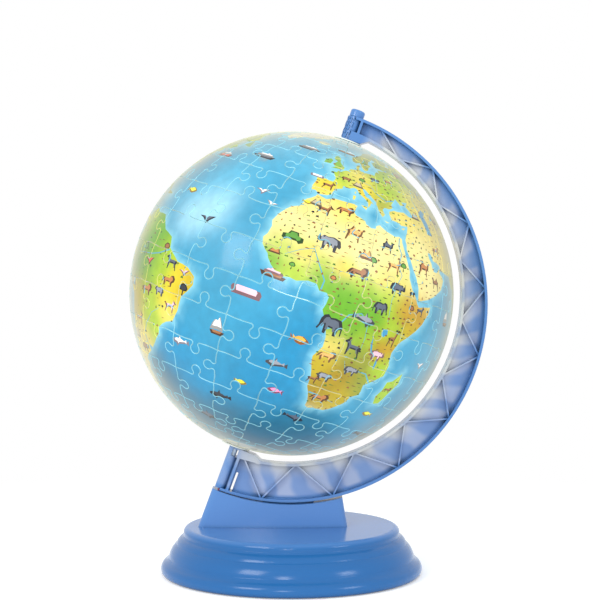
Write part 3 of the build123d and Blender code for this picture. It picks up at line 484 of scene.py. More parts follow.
# small pictures, each an outline in a box of about -1 to 1
SHAPES = {
    "elephant": [
        (-1, -0.6), (-0.95, 0.1), (-0.7, 0.55), (-0.2, 0.62), (0.2, 0.55), (0.45, 0.75), (0.75, 0.62),
        (0.92, 0.3), (0.95, -0.2), (1.08, -0.5), (0.95, -0.56), (0.8, -0.2), (0.7, 0), (0.55, -0.1),
        (0.5, -0.75), (0.28, -0.75), (0.22, -0.2), (-0.3, -0.25), (-0.35, -0.75), (-0.6, -0.75),
        (-0.65, -0.2), (-0.85, -0.1), (-0.9, -0.6),
    ],
    "rhino": [
        (-1, -0.1), (-0.85, 0.35), (-0.3, 0.5), (0.2, 0.4), (0.5, 0.45), (0.72, 0.22), (0.85, 0.55),
        (0.95, 0.15), (0.95, -0.1), (0.7, -0.15), (0.5, -0.1), (0.45, -0.65), (0.25, -0.65), (0.2, -0.2),
        (-0.4, -0.25), (-0.45, -0.68), (-0.65, -0.68), (-0.7, -0.2), (-0.9, -0.3),
    ],
    "camel": [
        (-0.85, -0.85), (-0.72, -0.1), (-0.8, 0.2), (-0.5, 0.35), (-0.25, 0.8), (0, 0.4), (0.35, 0.3),
        (0.55, 0.1), (0.65, 0.55), (0.92, 0.72), (1.05, 0.55), (0.82, 0.45), (0.75, -0.05), (0.5, -0.25),
        (0.55, -0.85), (0.42, -0.85), (0.3, -0.2), (-0.5, -0.2), (-0.7, -0.85),
    ],
    "antelope": [
        (-0.95, -0.8), (-0.75, -0.15), (-0.95, 0.15), (-0.75, 0.28), (0.3, 0.25), (0.55, 0.65), (0.45, 1.0),
        (0.72, 0.72), (1.0, 0.5), (0.95, 0.38), (0.7, 0.35), (0.58, -0.02), (0.55, -0.8), (0.42, -0.8),
        (0.3, -0.12), (-0.55, -0.12), (-0.82, -0.8),
    ],
    "lion": [
        (-1, 0.1), (-0.8, 0.28), (0.15, 0.28), (0.3, 0.6), (0.7, 0.68), (0.98, 0.35), (0.9, 0),
        (0.6, -0.18), (0.55, -0.62), (0.38, -0.62), (0.3, -0.15), (-0.5, -0.15), (-0.55, -0.62),
        (-0.75, -0.62), (-0.82, -0.05), (-1.15, -0.35), (-1.2, -0.25),
    ],
    "giraffe": [
        (-0.6, -1), (-0.5, -0.3), (-0.66, -0.1), (-0.5, 0.02), (0.1, 0.12), (0.36, 0.95), (0.5, 1.08),
        (0.82, 0.93), (0.8, 0.82), (0.52, 0.8), (0.3, -0.1), (0.27, -1), (0.15, -1), (0.1, -0.28),
        (-0.38, -0.28), (-0.48, -1),
    ],
    "bird": [
        (-1, 0.3), (-0.5, 0.38), (-0.1, 0.08), (0.2, 0.45), (0.95, 0.6), (0.38, 0.05), (0.28, -0.2),
        (0, -0.4), (-0.12, -0.1), (-0.5, 0.15),
    ],
    "fish": [
        (-1, 0.4), (-0.62, 0.05), (-0.2, 0.35), (0.3, 0.42), (0.8, 0.18), (1, 0), (0.8, -0.18),
        (0.3, -0.42), (-0.2, -0.35), (-0.62, -0.05), (-1, -0.4), (-0.85, 0),
    ],
    "whale": [
        (-1.15, 0.4), (-0.8, 0.1), (-0.4, 0.25), (-0.12, 0.3), (0, 0.68), (0.15, 0.3), (0.6, 0.25),
        (0.95, 0.05), (0.9, -0.15), (0.4, -0.28), (0.2, -0.55), (0.08, -0.27), (-0.5, -0.12), (-0.9, 0),
        (-1.25, -0.12),
    ],
    "hull": [(-1.05, 0.02), (-0.88, -0.26), (0.85, -0.26), (1.1, 0.08)],
    "cabins": [
        (-0.82, 0.05), (-0.78, 0.25), (0.1, 0.27), (0.14, 0.42), (0.34, 0.42), (0.36, 0.28), (0.78, 0.24),
        (0.86, 0.09),
    ],
    "boat": [(-0.72, -0.42), (-0.5, -0.75), (0.5, -0.75), (0.82, -0.38)],
    "sails": [
        (-0.7, -0.34), (-0.58, 0.2), (-0.4, 0.6), (-0.06, 0.62), (0.02, 0.95), (0.12, 0.92), (0.3, 0.5),
        (0.62, -0.3), (0.1, -0.24),
    ],
    "barge": [(-1, 0.12), (-0.92, 0.28), (0.85, 0.3), (1, 0.1), (0.95, -0.22), (-0.85, -0.24)],
    "jeep": [
        (-1, -0.3), (-0.95, 0.12), (-0.5, 0.18), (-0.35, 0.52), (0.4, 0.52), (0.55, 0.18), (1, 0.08),
        (1, -0.3), (0.68, -0.5), (0.45, -0.3), (-0.4, -0.3), (-0.62, -0.5),
    ],
    "tree": [
        (-0.12, -1), (-0.1, -0.2), (-0.75, -0.1), (-0.85, 0.4), (-0.3, 0.9), (0.4, 0.85), (0.85, 0.3),
        (0.7, -0.12), (0.12, -0.2), (0.14, -1),
    ],
    "pine": [(-0.1, -1), (-0.1, -0.7), (-0.6, -0.7), (0, 1), (0.6, -0.7), (0.1, -0.7), (0.1, -1)],
    "peak": [(-1, -0.6), (-0.3, 0.6), (0, 0.1), (0.35, 0.8), (1, -0.6)],
    "stroke": [(-1, -0.12), (-0.3, -0.2), (1, -0.02), (0.2, 0.12), (-0.6, 0.1)],
    "tuft": [(-1, -0.35), (-0.5, 0.35), (0.1, 0.1), (0.6, 0.5), (1, -0.3)],
    "bear": [
        (-1, 0), (-0.8, 0.4), (-0.2, 0.5), (0.35, 0.42), (0.6, 0.55), (0.95, 0.25), (0.9, 0.05),
        (0.62, -0.05), (0.6, -0.6), (0.35, -0.6), (0.3, -0.2), (-0.4, -0.2), (-0.45, -0.6), (-0.75, -0.6),
        (-0.8, -0.2),
    ],
    "kangaroo": [
        (-1.1, -0.75), (-0.3, -0.5), (-0.4, 0.1), (0.1, 0.55), (0.3, 1), (0.5, 0.95), (0.72, 0.72),
        (0.4, 0.6), (0.35, 0.2), (0.55, 0.0), (0.25, 0.0), (0.15, -0.35), (0.45, -0.75), (-0.1, -0.72),
        (-0.4, -0.68),
    ],
    "penguin": [(-0.35, -1), (-0.5, 0), (-0.2, 0.6), (0, 1), (0.35, 0.75), (0.5, 0), (0.4, -1)],
}
TINT = {
    "grey": (112, 116, 124),
    "slate": (66, 74, 86),
    "tan": (196, 140, 78),
    "brown": (120, 78, 44),
    "rose": (206, 150, 160),
    "white": (246, 246, 242),
    "black": (30, 34, 40),
    "orange": (236, 140, 48),
    "gold": (236, 190, 40),
    "pink": (222, 112, 150),
    "green": (70, 120, 44),
    "bronze": (150, 96, 50),
    "lilac": (206, 196, 214),
    "red": (196, 64, 50),
    "stone": (150, 138, 110),
}
# (shape, longitude, latitude, half width in millimetres, tint, facing)
PICTURES = [
    ("rhino", 4, 20.5, 4.2, "grey", -1), ("jeep", -8, 18, 3.6, "green", -1),
    ("camel", 12, 26.5, 3.4, "tan", 1), ("antelope", -1, 31, 2.6, "brown", 1),
    ("lion", 7, 33.5, 2.8, "bronze", 1), ("camel", 26, 26.5, 2.6, "slate", 1),
    ("lion", 17, 14.2, 3.6, "brown", 1), ("antelope", 30, 20.5, 3.0, "tan", 1),
    ("tree", 34, 21.5, 1.6, "green", 1), ("rhino", 33, 14, 3.4, "slate", 1),
    ("elephant", 13.5, -4.6, 4.2, "slate", -1), ("elephant", 28, 6, 2.9, "slate", 1),
    ("whale", 24, 0.5, 4.0, "grey", 1), ("antelope", 23.5, -9.2, 3.4, "slate", -1),
    ("giraffe", 37, -2, 3.0, "brown", 1), ("lion", 16.5, -14.5, 3.0, "tan", 1),
    ("bear", 19, -21.5, 2.8, "grey", 1), ("rhino", 27, -16.5, 2.8, "grey", 1),
    ("antelope", 15.5, -23.5, 2.0, "brown", 1), ("lion", 22, -29.5, 3.0, "bronze", 1),
    ("rhino", 33.5, -8.8, 3.0, "rose", 1), ("tree", 41, 9, 1.6, "brown", 1),
    ("bear", 40, 14, 1.4, "black", 1), ("antelope", 45.8, 9.5, 2.0, "slate", 1),
    ("tree", 21, 19.5, 1.8, "green", 1), ("peak", 18, 20.8, 2.6, "tan", 1),
    ("peak", -5, 32.6, 2.2, "stone", 1), ("tuft", -12, 11.5, 2.2, "bronze", 1),
    ("tree", -5, 9, 1.3, "green", 1), ("tree", 9, 9.5, 1.3, "bronze", 1),
    ("bird", -40, 13.5, 3.4, "slate", 1), ("bird", -26, 29.5, 2.6, "lilac", 1),
    ("bird", -20, 26, 2.2, "white", -1), ("hull", -38.5, 44.5, 4.2, "slate", 1),
    ("cabins", -38.5, 44.5, 4.2, "white", 1), ("barge", -9.5, 43.5, 2.4, "lilac", 1),
    ("hull", -9.6, 4.2, 4.2, "brown", -1), ("cabins", -9.6, 4.2, 4.0, "rose", -1),
    ("barge", -16, -4.2, 5.4, "rose", 1), ("boat", -22, -18, 3.6, "brown", 1),
    ("sails", -22, -18, 3.6, "white", 1), ("fish", -8.5, 31.5, 1.7, "gold", 1),
    ("fish", 5.5, -12.5, 3.4, "orange", 1), ("fish", -9, -34, 2.4, "gold", 1),
    ("fish", 5, -32.5, 2.8, "pink", -1), ("whale", -17, -43, 3.6, "black", -1),
    ("whale", 18, -41, 3.4, "slate", 1), ("whale", -37, -28, 3.4, "lilac", -1),
    ("whale", 1, -23, 3.4, "grey", -1), ("hull", -23, 57, 3.8, "slate", 1),
    ("cabins", -23, 57, 3.8, "white", 1), ("hull", 1.5, 63.5, 3.6, "brown", 1),
    ("cabins", 1.5, 63.5, 3.6, "white", 1), ("antelope", -3, 41, 2.2, "brown", 1),
    ("bear", 4, 47, 1.8, "brown", 1), ("tree", 12, 49, 1.5, "green", 1), ("pine", 14, 61, 1.8, "green", 1),
    ("pine", 26, 63, 1.8, "green", 1), ("bear", 20, 52, 2.0, "slate", 1),
    ("antelope", 30, 54, 2.2, "bronze", 1), ("peak", 43, 42.5, 2.2, "stone", 1),
    ("peak", 10, 46.3, 2.0, "stone", 1), ("camel", 45, 24, 3.2, "bronze", 1),
    ("camel", 53, 20.5, 2.4, "brown", -1), ("antelope", 55, 32, 2.6, "bronze", 1),
    ("antelope", -47, -3.5, 3.0, "slate", -1), ("bird", -40, -5.5, 2.4, "rose", 1),
    ("lion", -46, -9.5, 3.0, "bronze", 1), ("tree", -38.5, -10.5, 2.2, "black", 1),
    ("bear", -50, -14, 2.6, "grey", -1), ("antelope", -43, -17.5, 2.6, "rose", 1),
    ("tree", -52, 0.5, 1.8, "brown", 1), ("bird", -60, -6, 3.0, "red", 1),
    ("tree", -66, -2, 2.4, "green", 1), ("lion", -58, -15, 3.2, "bronze", 1),
    ("antelope", -64, -26, 3.0, "tan", 1), ("rhino", -62, -36, 2.8, "brown", 1),
    ("penguin", -66, -49, 1.8, "slate", 1), ("peak", -69, -32, 2.6, "stone", 1),
    ("peak", -72, -14, 2.6, "stone", 1), ("fish", 47, -30, 2.6, "gold", -1),
    ("bird", 57, -8, 2.6, "white", 1), ("whale", 60, -40, 4.4, "slate", 1),
    ("lion", 47, -19, 1.6, "brown", 1), ("boat", 66, 10, 3.2, "brown", 1),
    ("sails", 66, 10, 3.2, "white", 1), ("elephant", 78, 15, 3.2, "slate", 1),
    ("lion", 78.5, 23, 2.6, "orange", 1), ("bear", 103, 31, 3.0, "black", 1),
    ("camel", 102, 44, 3.4, "tan", 1), ("camel", 64, 44, 3.0, "brown", -1),
    ("peak", 84, 29.5, 3.4, "stone", 1), ("peak", 92, 34, 3.4, "stone", 1),
    ("bear", 95, 62, 3.4, "brown", 1), ("pine", 80, 62, 2.4, "green", 1),
    ("pine", 108, 60, 2.4, "green", 1), ("pine", 122, 64, 2.4, "green", 1),
    ("antelope", 135, 67, 3.2, "bronze", 1), ("lion", 128, 50, 3.0, "orange", 1),
    ("elephant", 101, 16, 2.4, "slate", -1), ("antelope", 60, 55, 3.0, "brown", 1),
    ("bear", 45, 61, 3.0, "brown", -1), ("pine", 52, 58, 2.2, "green", 1),
    ("kangaroo", 132, -25, 4.0, "bronze", 1), ("kangaroo", 144, -28, 3.2, "brown", -1),
    ("tree", 121, -29, 2.4, "green", 1), ("bird", 123, -21, 2.8, "red", 1),
    ("fish", 152, -14, 3.0, "orange", 1), ("whale", 105, -28, 4.6, "slate", -1),
    ("whale", 160, 35, 4.6, "slate", 1), ("hull", 165, 12, 4.6, "brown", 1),
    ("cabins", 165, 12, 4.6, "white", 1), ("fish", 178, -18, 3.0, "gold", 1),
    ("bear", -110, 58, 3.4, "brown", 1), ("antelope", -95, 55, 3.2, "bronze", -1),
    ("pine", -80, 51, 2.4, "green", 1), ("rhino", -100, 43, 3.4, "brown", 1),
    ("peak", -113, 45, 3.2, "stone", 1), ("peak", -109, 37, 3.0, "stone", 1),
    ("lion", -104, 29, 2.6, "bronze", 1), ("bear", -88, 38, 2.6, "black", 1),
    ("bird", -75, 33, 2.6, "white", 1), ("bear", -148, 65, 3.0, "brown", 1),
    ("bear", -45, 76, 3.2, "stone", 1), ("whale", -140, 28, 4.8, "slate", 1),
    ("boat", -150, -8, 3.8, "brown", 1), ("sails", -150, -8, 3.8, "white", 1),
    ("fish", -120, -14, 3.0, "orange", 1), ("whale", -100, -42, 4.6, "black", 1),
    ("penguin", 20, -73, 2.2, "slate", 1), ("penguin", 60, -71, 2.2, "slate", 1),
    ("penguin", 120, -71, 2.2, "slate", 1), ("penguin", -80, -77, 2.2, "slate", 1),
    ("penguin", -140, -79, 2.2, "slate", 1), ("hull", -60, 40, 3.8, "red", 1),
    ("cabins", -60, 40, 3.8, "white", 1), ("fish", -56, 22, 2.8, "gold", 1),
    ("whale", -25, -56, 3.8, "slate", 1), ("bird", 90, 8, 2.8, "white", 1),
    ("fish", 88, -12, 2.8, "pink", 1),
]
# small marks strewn over the land, and how much larger than listed the pictures are printed
MARKS = 1050
PICTURE_SCALE = 1.75
# clear space round a picture or mark, in degrees of longitude at the equator and of latitude
CLEAR_LON, CLEAR_LAT = 1.7, 1.2


def linear(ink, share=1.0):
    """Scene-linear colour from a 0 to 255 one."""
    parts = [c / 255 for c in ink]
    return tuple(share * (c / 12.92 if c <= 0.04045 else ((c + 0.055) / 1.055) ** 2.4) for c in parts)


def picture_outline(shape, lon, lat, half_mm, facing):
    """A small picture's outline laid on the map upright at a place."""
    scale = math.degrees(half_mm / 1000 / BALL_R)
    squeeze = math.cos(math.radians(lat))
    return [(lon + facing * x * scale / squeeze, lat + y * scale) for x, y in SHAPES[shape]]


def ribbon(points, width):
    """A river as a thin closed outline, tapering to its source."""
    left, right = [], []
    for i, (lon, lat) in enumerate(points):
        before, after = points[max(i - 1, 0)], points[min(i + 1, len(points) - 1)]
        run = Vector((after[0] - before[0], after[1] - before[1])).normalized()
        half = width * (1 - 0.8 * i / (len(points) - 1)) / 2
        left.append((lon - run.y * half, lat + run.x * half))
        right.append((lon + run.y * half, lat - run.x * half))
    return left + right[::-1]


def inside(point, loop):
    """True if a point is inside a closed outline."""
    x, y = point
    hit = False
    for (ax, ay), (bx, by) in zip(loop, loop[1:] + loop[:1]):
        if (ay > y) != (by > y) and x < ax + (y - ay) * (bx - ax) / (by - ay):
            hit = not hit
    return hit


def soften(loop, step=2.2):
    """An outline with its long sides divided and gently roughened, as a brush leaves a coast."""
    dice = random.Random(len(loop) * 31 + int(loop[0][0]))
    rough = []
    for (ax, ay), (bx, by) in zip(loop, loop[1:] + loop[:1]):
        squeeze = math.cos(math.radians(max(-80, min(80, (ay + by) / 2))))
        length = math.hypot((bx - ax) * squeeze, by - ay)
        count = max(1, min(14, int(length / step)))
        for k in range(count):
            wander = dice.uniform(-0.1, 0.1) * length / count if k else 0
            x, y = ax + (bx - ax) * k / count, ay + (by - ay) * k / count
            rough.append((x - (by - ay) / (length + 1e-6) * wander, y + (bx - ax) / (length + 1e-6) * wander))
    return rough


def reaches_map(loop):
    """True if any of an outline lies near the flat map."""
    return max(x for x, _ in loop) > -190 and min(x for x, _ in loop) < 190


def all_paint():
    """Every painted outline as (outline, paint), the lowest first, and the coasts by name."""
    coast = {name: soften(loop) for name, loop in LAND.items()}
    layers = [(loop, "land") for loop in coast.values()]
    layers += [(loop, "lake") for loop in LAKES.values()]
    layers += [(ribbon(points, 0.55), "river") for points in RIVERS.values()]
    dice = random.Random(23)
    mark_tints = [TINT["green"], TINT["bronze"], TINT["brown"], TINT["black"]]
    taken = [(lon, lat) for _, lon, lat, *_ in PICTURES]
    wanted = MARKS
    while wanted:
        lon, lat = dice.uniform(-170, 180), math.degrees(math.asin(dice.uniform(-0.85, 0.96)))
        # every other mark goes to Africa and Europe, which are the fullest
        if wanted % 2:
            lon, lat = dice.uniform(-18, 58), dice.uniform(-34, 64)
        if not any(inside((lon, lat), loop) for name, loop in LAND.items() if name != "antarctica"):
            continue
        squeeze = math.cos(math.radians(lat))
        if any(abs(lon - x) * squeeze < CLEAR_LON and abs(lat - y) < CLEAR_LAT for x, y in taken):
            continue
        taken.append((lon, lat))
        shape = dice.choice(("stroke", "stroke", "stroke", "tuft", "tree", "pine", "peak"))
        half = dice.uniform(0.9, 1.9) if shape == "stroke" else dice.uniform(0.7, 1.2)
        layers.append((picture_outline(shape, lon, lat, half, 1), dice.choice(mark_tints)))
        wanted -= 1
    for shape, lon, lat, half, tint, facing in PICTURES:
        outline = picture_outline(shape, lon, lat, half * PICTURE_SCALE, facing)
        layers.append((outline, tuple(c * 0.62 for c in TINT[tint])))
        # a smaller, lighter copy on top leaves the dark one as an inked edge
        mid_x, mid_y = (sum(p[i] for p in outline) / len(outline) for i in (0, 1))
        lift = half * PICTURE_SCALE * 0.06
        light = [(mid_x + (x - mid_x) * 0.7, mid_y + (y - mid_y) * 0.66 + lift) for x, y in outline]
        layers.append((light, tuple(min(255, c * 1.3 + 12) for c in TINT[tint])))
    shifted = [([(x + turn, y) for x, y in loop], paint) for loop, paint in layers for turn in (-360, 360)]
    return layers + [(loop, paint) for loop, paint in shifted if reaches_map(loop)], coast


def blot_mixer(blots, base):
    """A function that gives the mixed paint at a place on the map."""
    spots = [
        (to_unit(lon, lat), math.radians(reach), np.array(linear(INK[ink]))) for lon, lat, reach, ink in blots
    ]
    ground = np.array(linear(INK[base])) * 0.04

    def mixed(unit):
        total, weight = ground.copy(), 0.04
        for spot, reach, colour in spots:
            near = spot.dot(unit)
            if near > 0.6:
                share = math.exp(-2 * (1 - near) / reach**2)
                total += colour * share
                weight += share
        return total / weight

    return mixed


# ------------------------------------------------------------------ materials as expressions
class Wire:
    """A shader socket that Python sums can use: each operation adds its Math node."""

    def __init__(self, finish, socket):
        self.finish = finish
        self.socket = socket

    def maths(self, operation, *values):
        return self.finish.node("ShaderNodeMath", {"operation": operation}, dict(enumerate(values)))

    def __add__(self, other):
        return self.maths("ADD", self, other)

    def __sub__(self, other):
        return self.maths("SUBTRACT", self, other)

    def __rsub__(self, other):
        return self.maths("SUBTRACT", other, self)

    def __mul__(self, other):
        return self.maths("MULTIPLY", self, other)

    __radd__, __rmul__ = __add__, __mul__

    def between(self, low, high):
        """0 below low, 1 above high and a smooth step between them."""
        settings = {"interpolation_type": "SMOOTHSTEP"}
        return self.finish.node("ShaderNodeMapRange", settings, {0: self, 1: low, 2: high})

    def sine(self):
        return self.maths("SINE", self)


class Finish:
    """A material made by expressions round one Principled shader."""

    def __init__(self, name, sockets):
        self.material = bpy.data.materials.new(name)
        self.material.use_nodes = True
        self.tree = self.material.node_tree
        self.shader = self.tree.nodes["Principled BSDF"]
        for key, value in sockets.items():
            self.feed(self.shader, key, value)

    def feed(self, node, key, value):
        if isinstance(value, Wire):
            self.tree.links.new(value.socket, node.inputs[key])
        else:
            node.inputs[key].default_value = value

    def node(self, kind, settings=None, values=None, output=0):
        """Adds a node: its settings first, then the values or links of its sockets."""
        made = self.tree.nodes.new(kind)
        for key, value in (settings or {}).items():
            setattr(made, key, value)
        for key, value in (values or {}).items():
            self.feed(made, key, value)
        return Wire(self, made.outputs[output])

    def split(self, vector, *parts):
        """The named parts of a vector, such as "X" and "Z"."""
        return [self.node("ShaderNodeSeparateXYZ", values={0: vector}, output=part) for part in parts]

    def blend(self, share, first, second, kind="MIX"):
        """The first colour turning into the second by a share."""
        colours = [(*c, 1) if isinstance(c, tuple) and len(c) == 3 else c for c in (first, second)]
        settings = {"data_type": "RGBA", "blend_type": kind}
        return self.node("ShaderNodeMix", settings, {0: share, 6: colours[0], 7: colours[1]}, 2)

    def place(self):
        return self.node("ShaderNodeTexCoord", output="Object")

    def noise(self, scale, detail=3.0):
        values = {"Vector": self.place(), "Scale": scale, "Detail": detail}
        return self.node("ShaderNodeTexNoise", values=values)

    def join(self, share, other):
        """Lays another shader over the Principled one by a share."""
        under = Wire(self, self.shader.outputs[0])
        mixed = self.node("ShaderNodeMixShader", values={0: share, 1: under, 2: other})
        self.tree.links.new(mixed.socket, self.tree.nodes["Material Output"].inputs["Surface"])

    def bump(self, height, strength, distance=0.001, edge=None):
        """Fine relief, over edges that are rounded by a radius if one is given."""
        values = {"Height": height, "Strength": strength, "Distance": distance}
        if edge is not None:
            values["Normal"] = self.node("ShaderNodeBevel", {"samples": 4}, {"Radius": edge})
        self.feed(self.shader, "Normal", self.node("ShaderNodeBump", values=values))


def blue_moulding(name, settings):
    """Tinted moulding of the stand, slightly cloudy and glossy, with painted lamp light, a painted glow and
    painted shade.
    """
    blue, pale = tuple(settings.stand_blue), tuple(settings.stand_painted_light)
    finish = Finish(name, {"IOR": 1.34, "Emission Strength": 0.05})
    place = finish.place()
    reach = finish.node("ShaderNodeVectorMath", {"operation": "DISTANCE"}, {0: place, 1: CENTRE}, 1)
    east, up = finish.split(place, "X", "Z")
    turn = east.maths("ARCTAN2", east, up - CENTRE.z)
    angle = turn.maths("FLOORED_MODULO", turn, math.tau)
    cloud = finish.noise(30.0, 2.0)
    # painted light of the lamp on the arm: pale painted blots all over its web, and a bright painted band
    # next to the ball
    painted_light_blots = (angle * 36.0 + reach * 180.0 + cloud * 9.0).sine().between(-0.7, 0.7)
    rim = finish.node("ShaderNodeVectorMath", {"operation": "DISTANCE"}, {0: place, 1: ARM_RIM_CENTRE}, 1)
    beside = angle.between(0.42, 0.56) * (1.0 - angle.between(3.2, 3.7))
    on_arm = (1.0 - rim.between(0.1178, 0.1206)) * beside
    near = (1.0 - reach.between(0.1045, 0.1165)) * beside
    # painted light: the base's top and all above it are painted a little paler than the bell
    painted_top_light = finish.blend(up.between(0.026, 0.030), blue, tuple(c * 1.35 + 0.065 for c in blue))
    painted_arm_light = painted_light_blots * 0.45 + angle.between(1.4, 2.6) * 0.16 + 0.1
    body = finish.blend(on_arm * painted_arm_light, painted_top_light, pale)
    # painted glow: a cream colour painted on the arm next to the ball
    colour = finish.blend(near * (painted_light_blots * 0.3 + 0.45), body, linear((214, 212, 200)))
    # painted shade: an occlusion node darkens the colour in corners, less so on the arm where the lamp's
    # light is painted
    corner = finish.node("ShaderNodeAmbientOcclusion", {"samples": 6}, {"Distance": 0.005}, 1)
    depth = 1.0 - corner.between(0.1, 0.75)
    colour = finish.blend(depth * (1.0 - on_arm * 0.7), colour, tuple(c * 0.45 for c in blue))
    finish.feed(finish.shader, "Base Color", colour)
    # painted glow: the stand also gives off a faint light of its own painted colour
    finish.feed(finish.shader, "Emission Color", colour)
    finish.feed(finish.shader, "Roughness", cloud * 0.08 + 0.14)
    finish.bump(finish.noise(900.0, 2.0), 0.03, 0.0002, 0.0005)
    return finish.material


def plain_finish(name, ink, grain, depth, roughness, metallic=0.0):
    """A moulded, plated or printed finish: one colour with faint mottling, and grain in its bump."""
    finish = Finish(name, {"Metallic": metallic})
    mottle = finish.noise(grain / 6, 4.0)
    dark, light = linear(ink, 0.88), tuple(min(1.0, c) for c in linear(ink, 1.12))
    finish.feed(finish.shader, "Base Color", finish.blend(mottle, dark, light))
    finish.feed(finish.shader, "Roughness", mottle * 0.12 + roughness - 0.06)
    finish.bump(finish.noise(grain, 3.0), depth, 0.0002, 0.0002)
    return finish.material


def print_finish(settings):
    """The printed jigsaw card with a painted glow of the lamp: its paint is on the mesh, with watercolour
    clouding over it.
    """
    finish = Finish(
        "printed_pieces_painted_glow",
        {
            "IOR": 1.46,
            "Coat Weight": 0.25,
            "Coat Roughness": 0.12,
            "Sheen Weight": 0.5,
            "Sheen Roughness": 0.28,
            "Sheen Tint": (1.0, 0.95, 0.72, 1),
            "Emission Strength": settings.painted_lamp_glow,
            "Specular IOR Level": 0.3,
        },
    )
    paint = finish.node("ShaderNodeVertexColor", {"layer_name": "paint"})
    wash = finish.noise(24.0, 5.0)
    fleck = finish.noise(190.0, 4.0)
    tone = wash * 0.42 + fleck * 0.34
    grey = finish.node("ShaderNodeCombineColor", values={0: tone + 0.62, 1: tone + 0.62, 2: tone + 0.62})
    colour = finish.blend(1.0, paint, grey, "MULTIPLY")
    finish.feed(finish.shader, "Base Color", finish.blend(1.0, colour, (0.78, 0.78, 0.78), "MULTIPLY"))
    # painted glow: the print and the painted joint light give off light of their own colour
    finish.feed(finish.shader, "Emission Color", colour)
    finish.feed(finish.shader, "Roughness", fleck * 0.2 + 0.3)
    finish.bump(finish.noise(700.0, 2.0), 0.05, 0.0002)
    # frosted sheen: the clear skin of the pieces looks milky where it is seen edge on
    film = finish.node("ShaderNodeBsdfSheen", values={"Color": (1.0, 0.99, 0.82, 1), "Roughness": 0.6})
    facing = finish.node("ShaderNodeLayerWeight", values={"Blend": 0.5}, output=1)
    finish.join(facing.between(0.38, 1.0) * 0.88, film)
    return finish.material


def glow_finish(name, ink, strength, roughness=0.5):
    """A lit lens of the lamp."""
    finish = Finish(name, {"Roughness": roughness, "Emission Strength": strength})
    mottle = finish.noise(120.0, 3.0)
    colour = finish.blend(mottle, linear(ink, 0.9), linear(ink))
    finish.feed(finish.shader, "Base Color", colour)
    finish.feed(finish.shader, "Emission Color", colour)
    finish.bump(finish.noise(500.0), 0.08, 0.0002)
    return finish.material


def dress(node, material):
    """Gives a CAD node its finish."""
    mesh = frame["nodes"][node].data
    mesh.materials.clear()
    mesh.materials.append(material)


# ------------------------------------------------------------------ settings
class GlobeSettings(bpy.types.PropertyGroup):
    """Sizes and colours of the globe that a user would change."""

    stand_blue: bpy.props.FloatVectorProperty(
        name="Stand blue", description="Colour of the stand's mouldings",
        subtype="COLOR", size=3, default=linear((36, 95, 154)),
    )
    # painted light: the colour painted on the arm and next to the ball as the lamp's light
    stand_painted_light: bpy.props.FloatVectorProperty(
        name="Stand glow", description="Colour of the stand where the lamp lights it",
        subtype="COLOR", size=3, default=linear((178, 186, 206)),
    )
    # painted light: the joints' chamfers, sides and backs are painted with these colours of the lamp's light
    sea_joint_painted_light: bpy.props.FloatVectorProperty(
        name="Seam light", description="Colour of the light in the joints over the sea",
        subtype="COLOR", size=3, default=linear((176, 240, 250)),
    )
    land_joint_painted_light: bpy.props.FloatVectorProperty(
        name="Land seam", description="Colour of the light in the joints over land",
        subtype="COLOR", size=3, default=linear((250, 238, 150)),
    )
    # painted light: how strongly the print glows with its own colour by emission, as the lamp shining through
    # the ball
    painted_lamp_glow: bpy.props.FloatProperty(
        name="Lamp through", description="How strongly the lamp shows through the ball",
        default=0.15, min=0, max=2,
    )
    seam_width: bpy.props.FloatProperty(
        name="Seam edge", description="Width of the chamfer round each piece",
        unit="LENGTH", default=0.00027, min=0.0001, max=0.001,
    )
    seam_depth: bpy.props.FloatProperty(
        name="Seam depth", description="Depth of the chamfer round each piece",
        unit="LENGTH", default=0.0003, min=0, max=0.001,
    )
    camera_distance: bpy.props.FloatProperty(
        name="Camera distance", description="From the camera to the spin axis",
        unit="LENGTH", default=0.9, min=0.3,
    )
    camera_lens: bpy.props.FloatProperty(
        name="Camera lens", description="Focal length in millimetres",
        unit="CAMERA", default=87.05, min=20,
    )


# ------------------------------------------------------------------ pieces
def cut_map(rows, paints, settings):
    """One triangulation of the flat map, cut along every piece's rim, chamfer and painted outline.

    Gives its points, and for each (row, piece) its triangles as (corners, on the printed face, paint).
    """
    points, faces, kinds = [], [], []

    def add_face(loop, kind, value):
        area = sum(ax * by - bx * ay for (ax, ay), (bx, by) in zip(loop, loop[1:] + loop[:1]))
        faces.append(list(range(len(points), len(points) + len(loop))))
        points.extend(loop if area > 0 else loop[::-1])
        kinds.append((kind, value))

    for k, outlines in enumerate(rows):
        for i, outline in enumerate(outlines):
            add_face(draw_in(outline, SEAM_GAP), "rim", (k, i))
            add_face(draw_in(outline, SEAM_GAP + settings.seam_width), "top", None)
    for loop, paint in paints:
        add_face(loop, "paint", paint)
    lat = -84.0
    while lat < 85:
        step = GRID_STEP / math.cos(math.radians(lat))
        points.extend((-MAP_REACH + step * i, lat) for i in range(int(2 * MAP_REACH / step)))
        lat += GRID_STEP
    found = geometry.delaunay_2d_cdt([Vector(p) for p in points], [], faces, 0, 1e-7, True)
    pieces = {}
    for corners, source in zip(found[2], found[5]):
        owner, top, paint = None, False, None
        for face in sorted(source):
            kind, value = kinds[face]
            if kind == "rim":
                owner = value
            elif kind == "top":
                top = True
            else:
                paint = value
        if owner:
            pieces.setdefault(owner, []).append((corners, top, paint))
    return [to_unit(p.x, p.y) for p in found[0]], pieces


# the faces of a piece
PRINT, CHAMFER, SIDE, BACK = range(4)


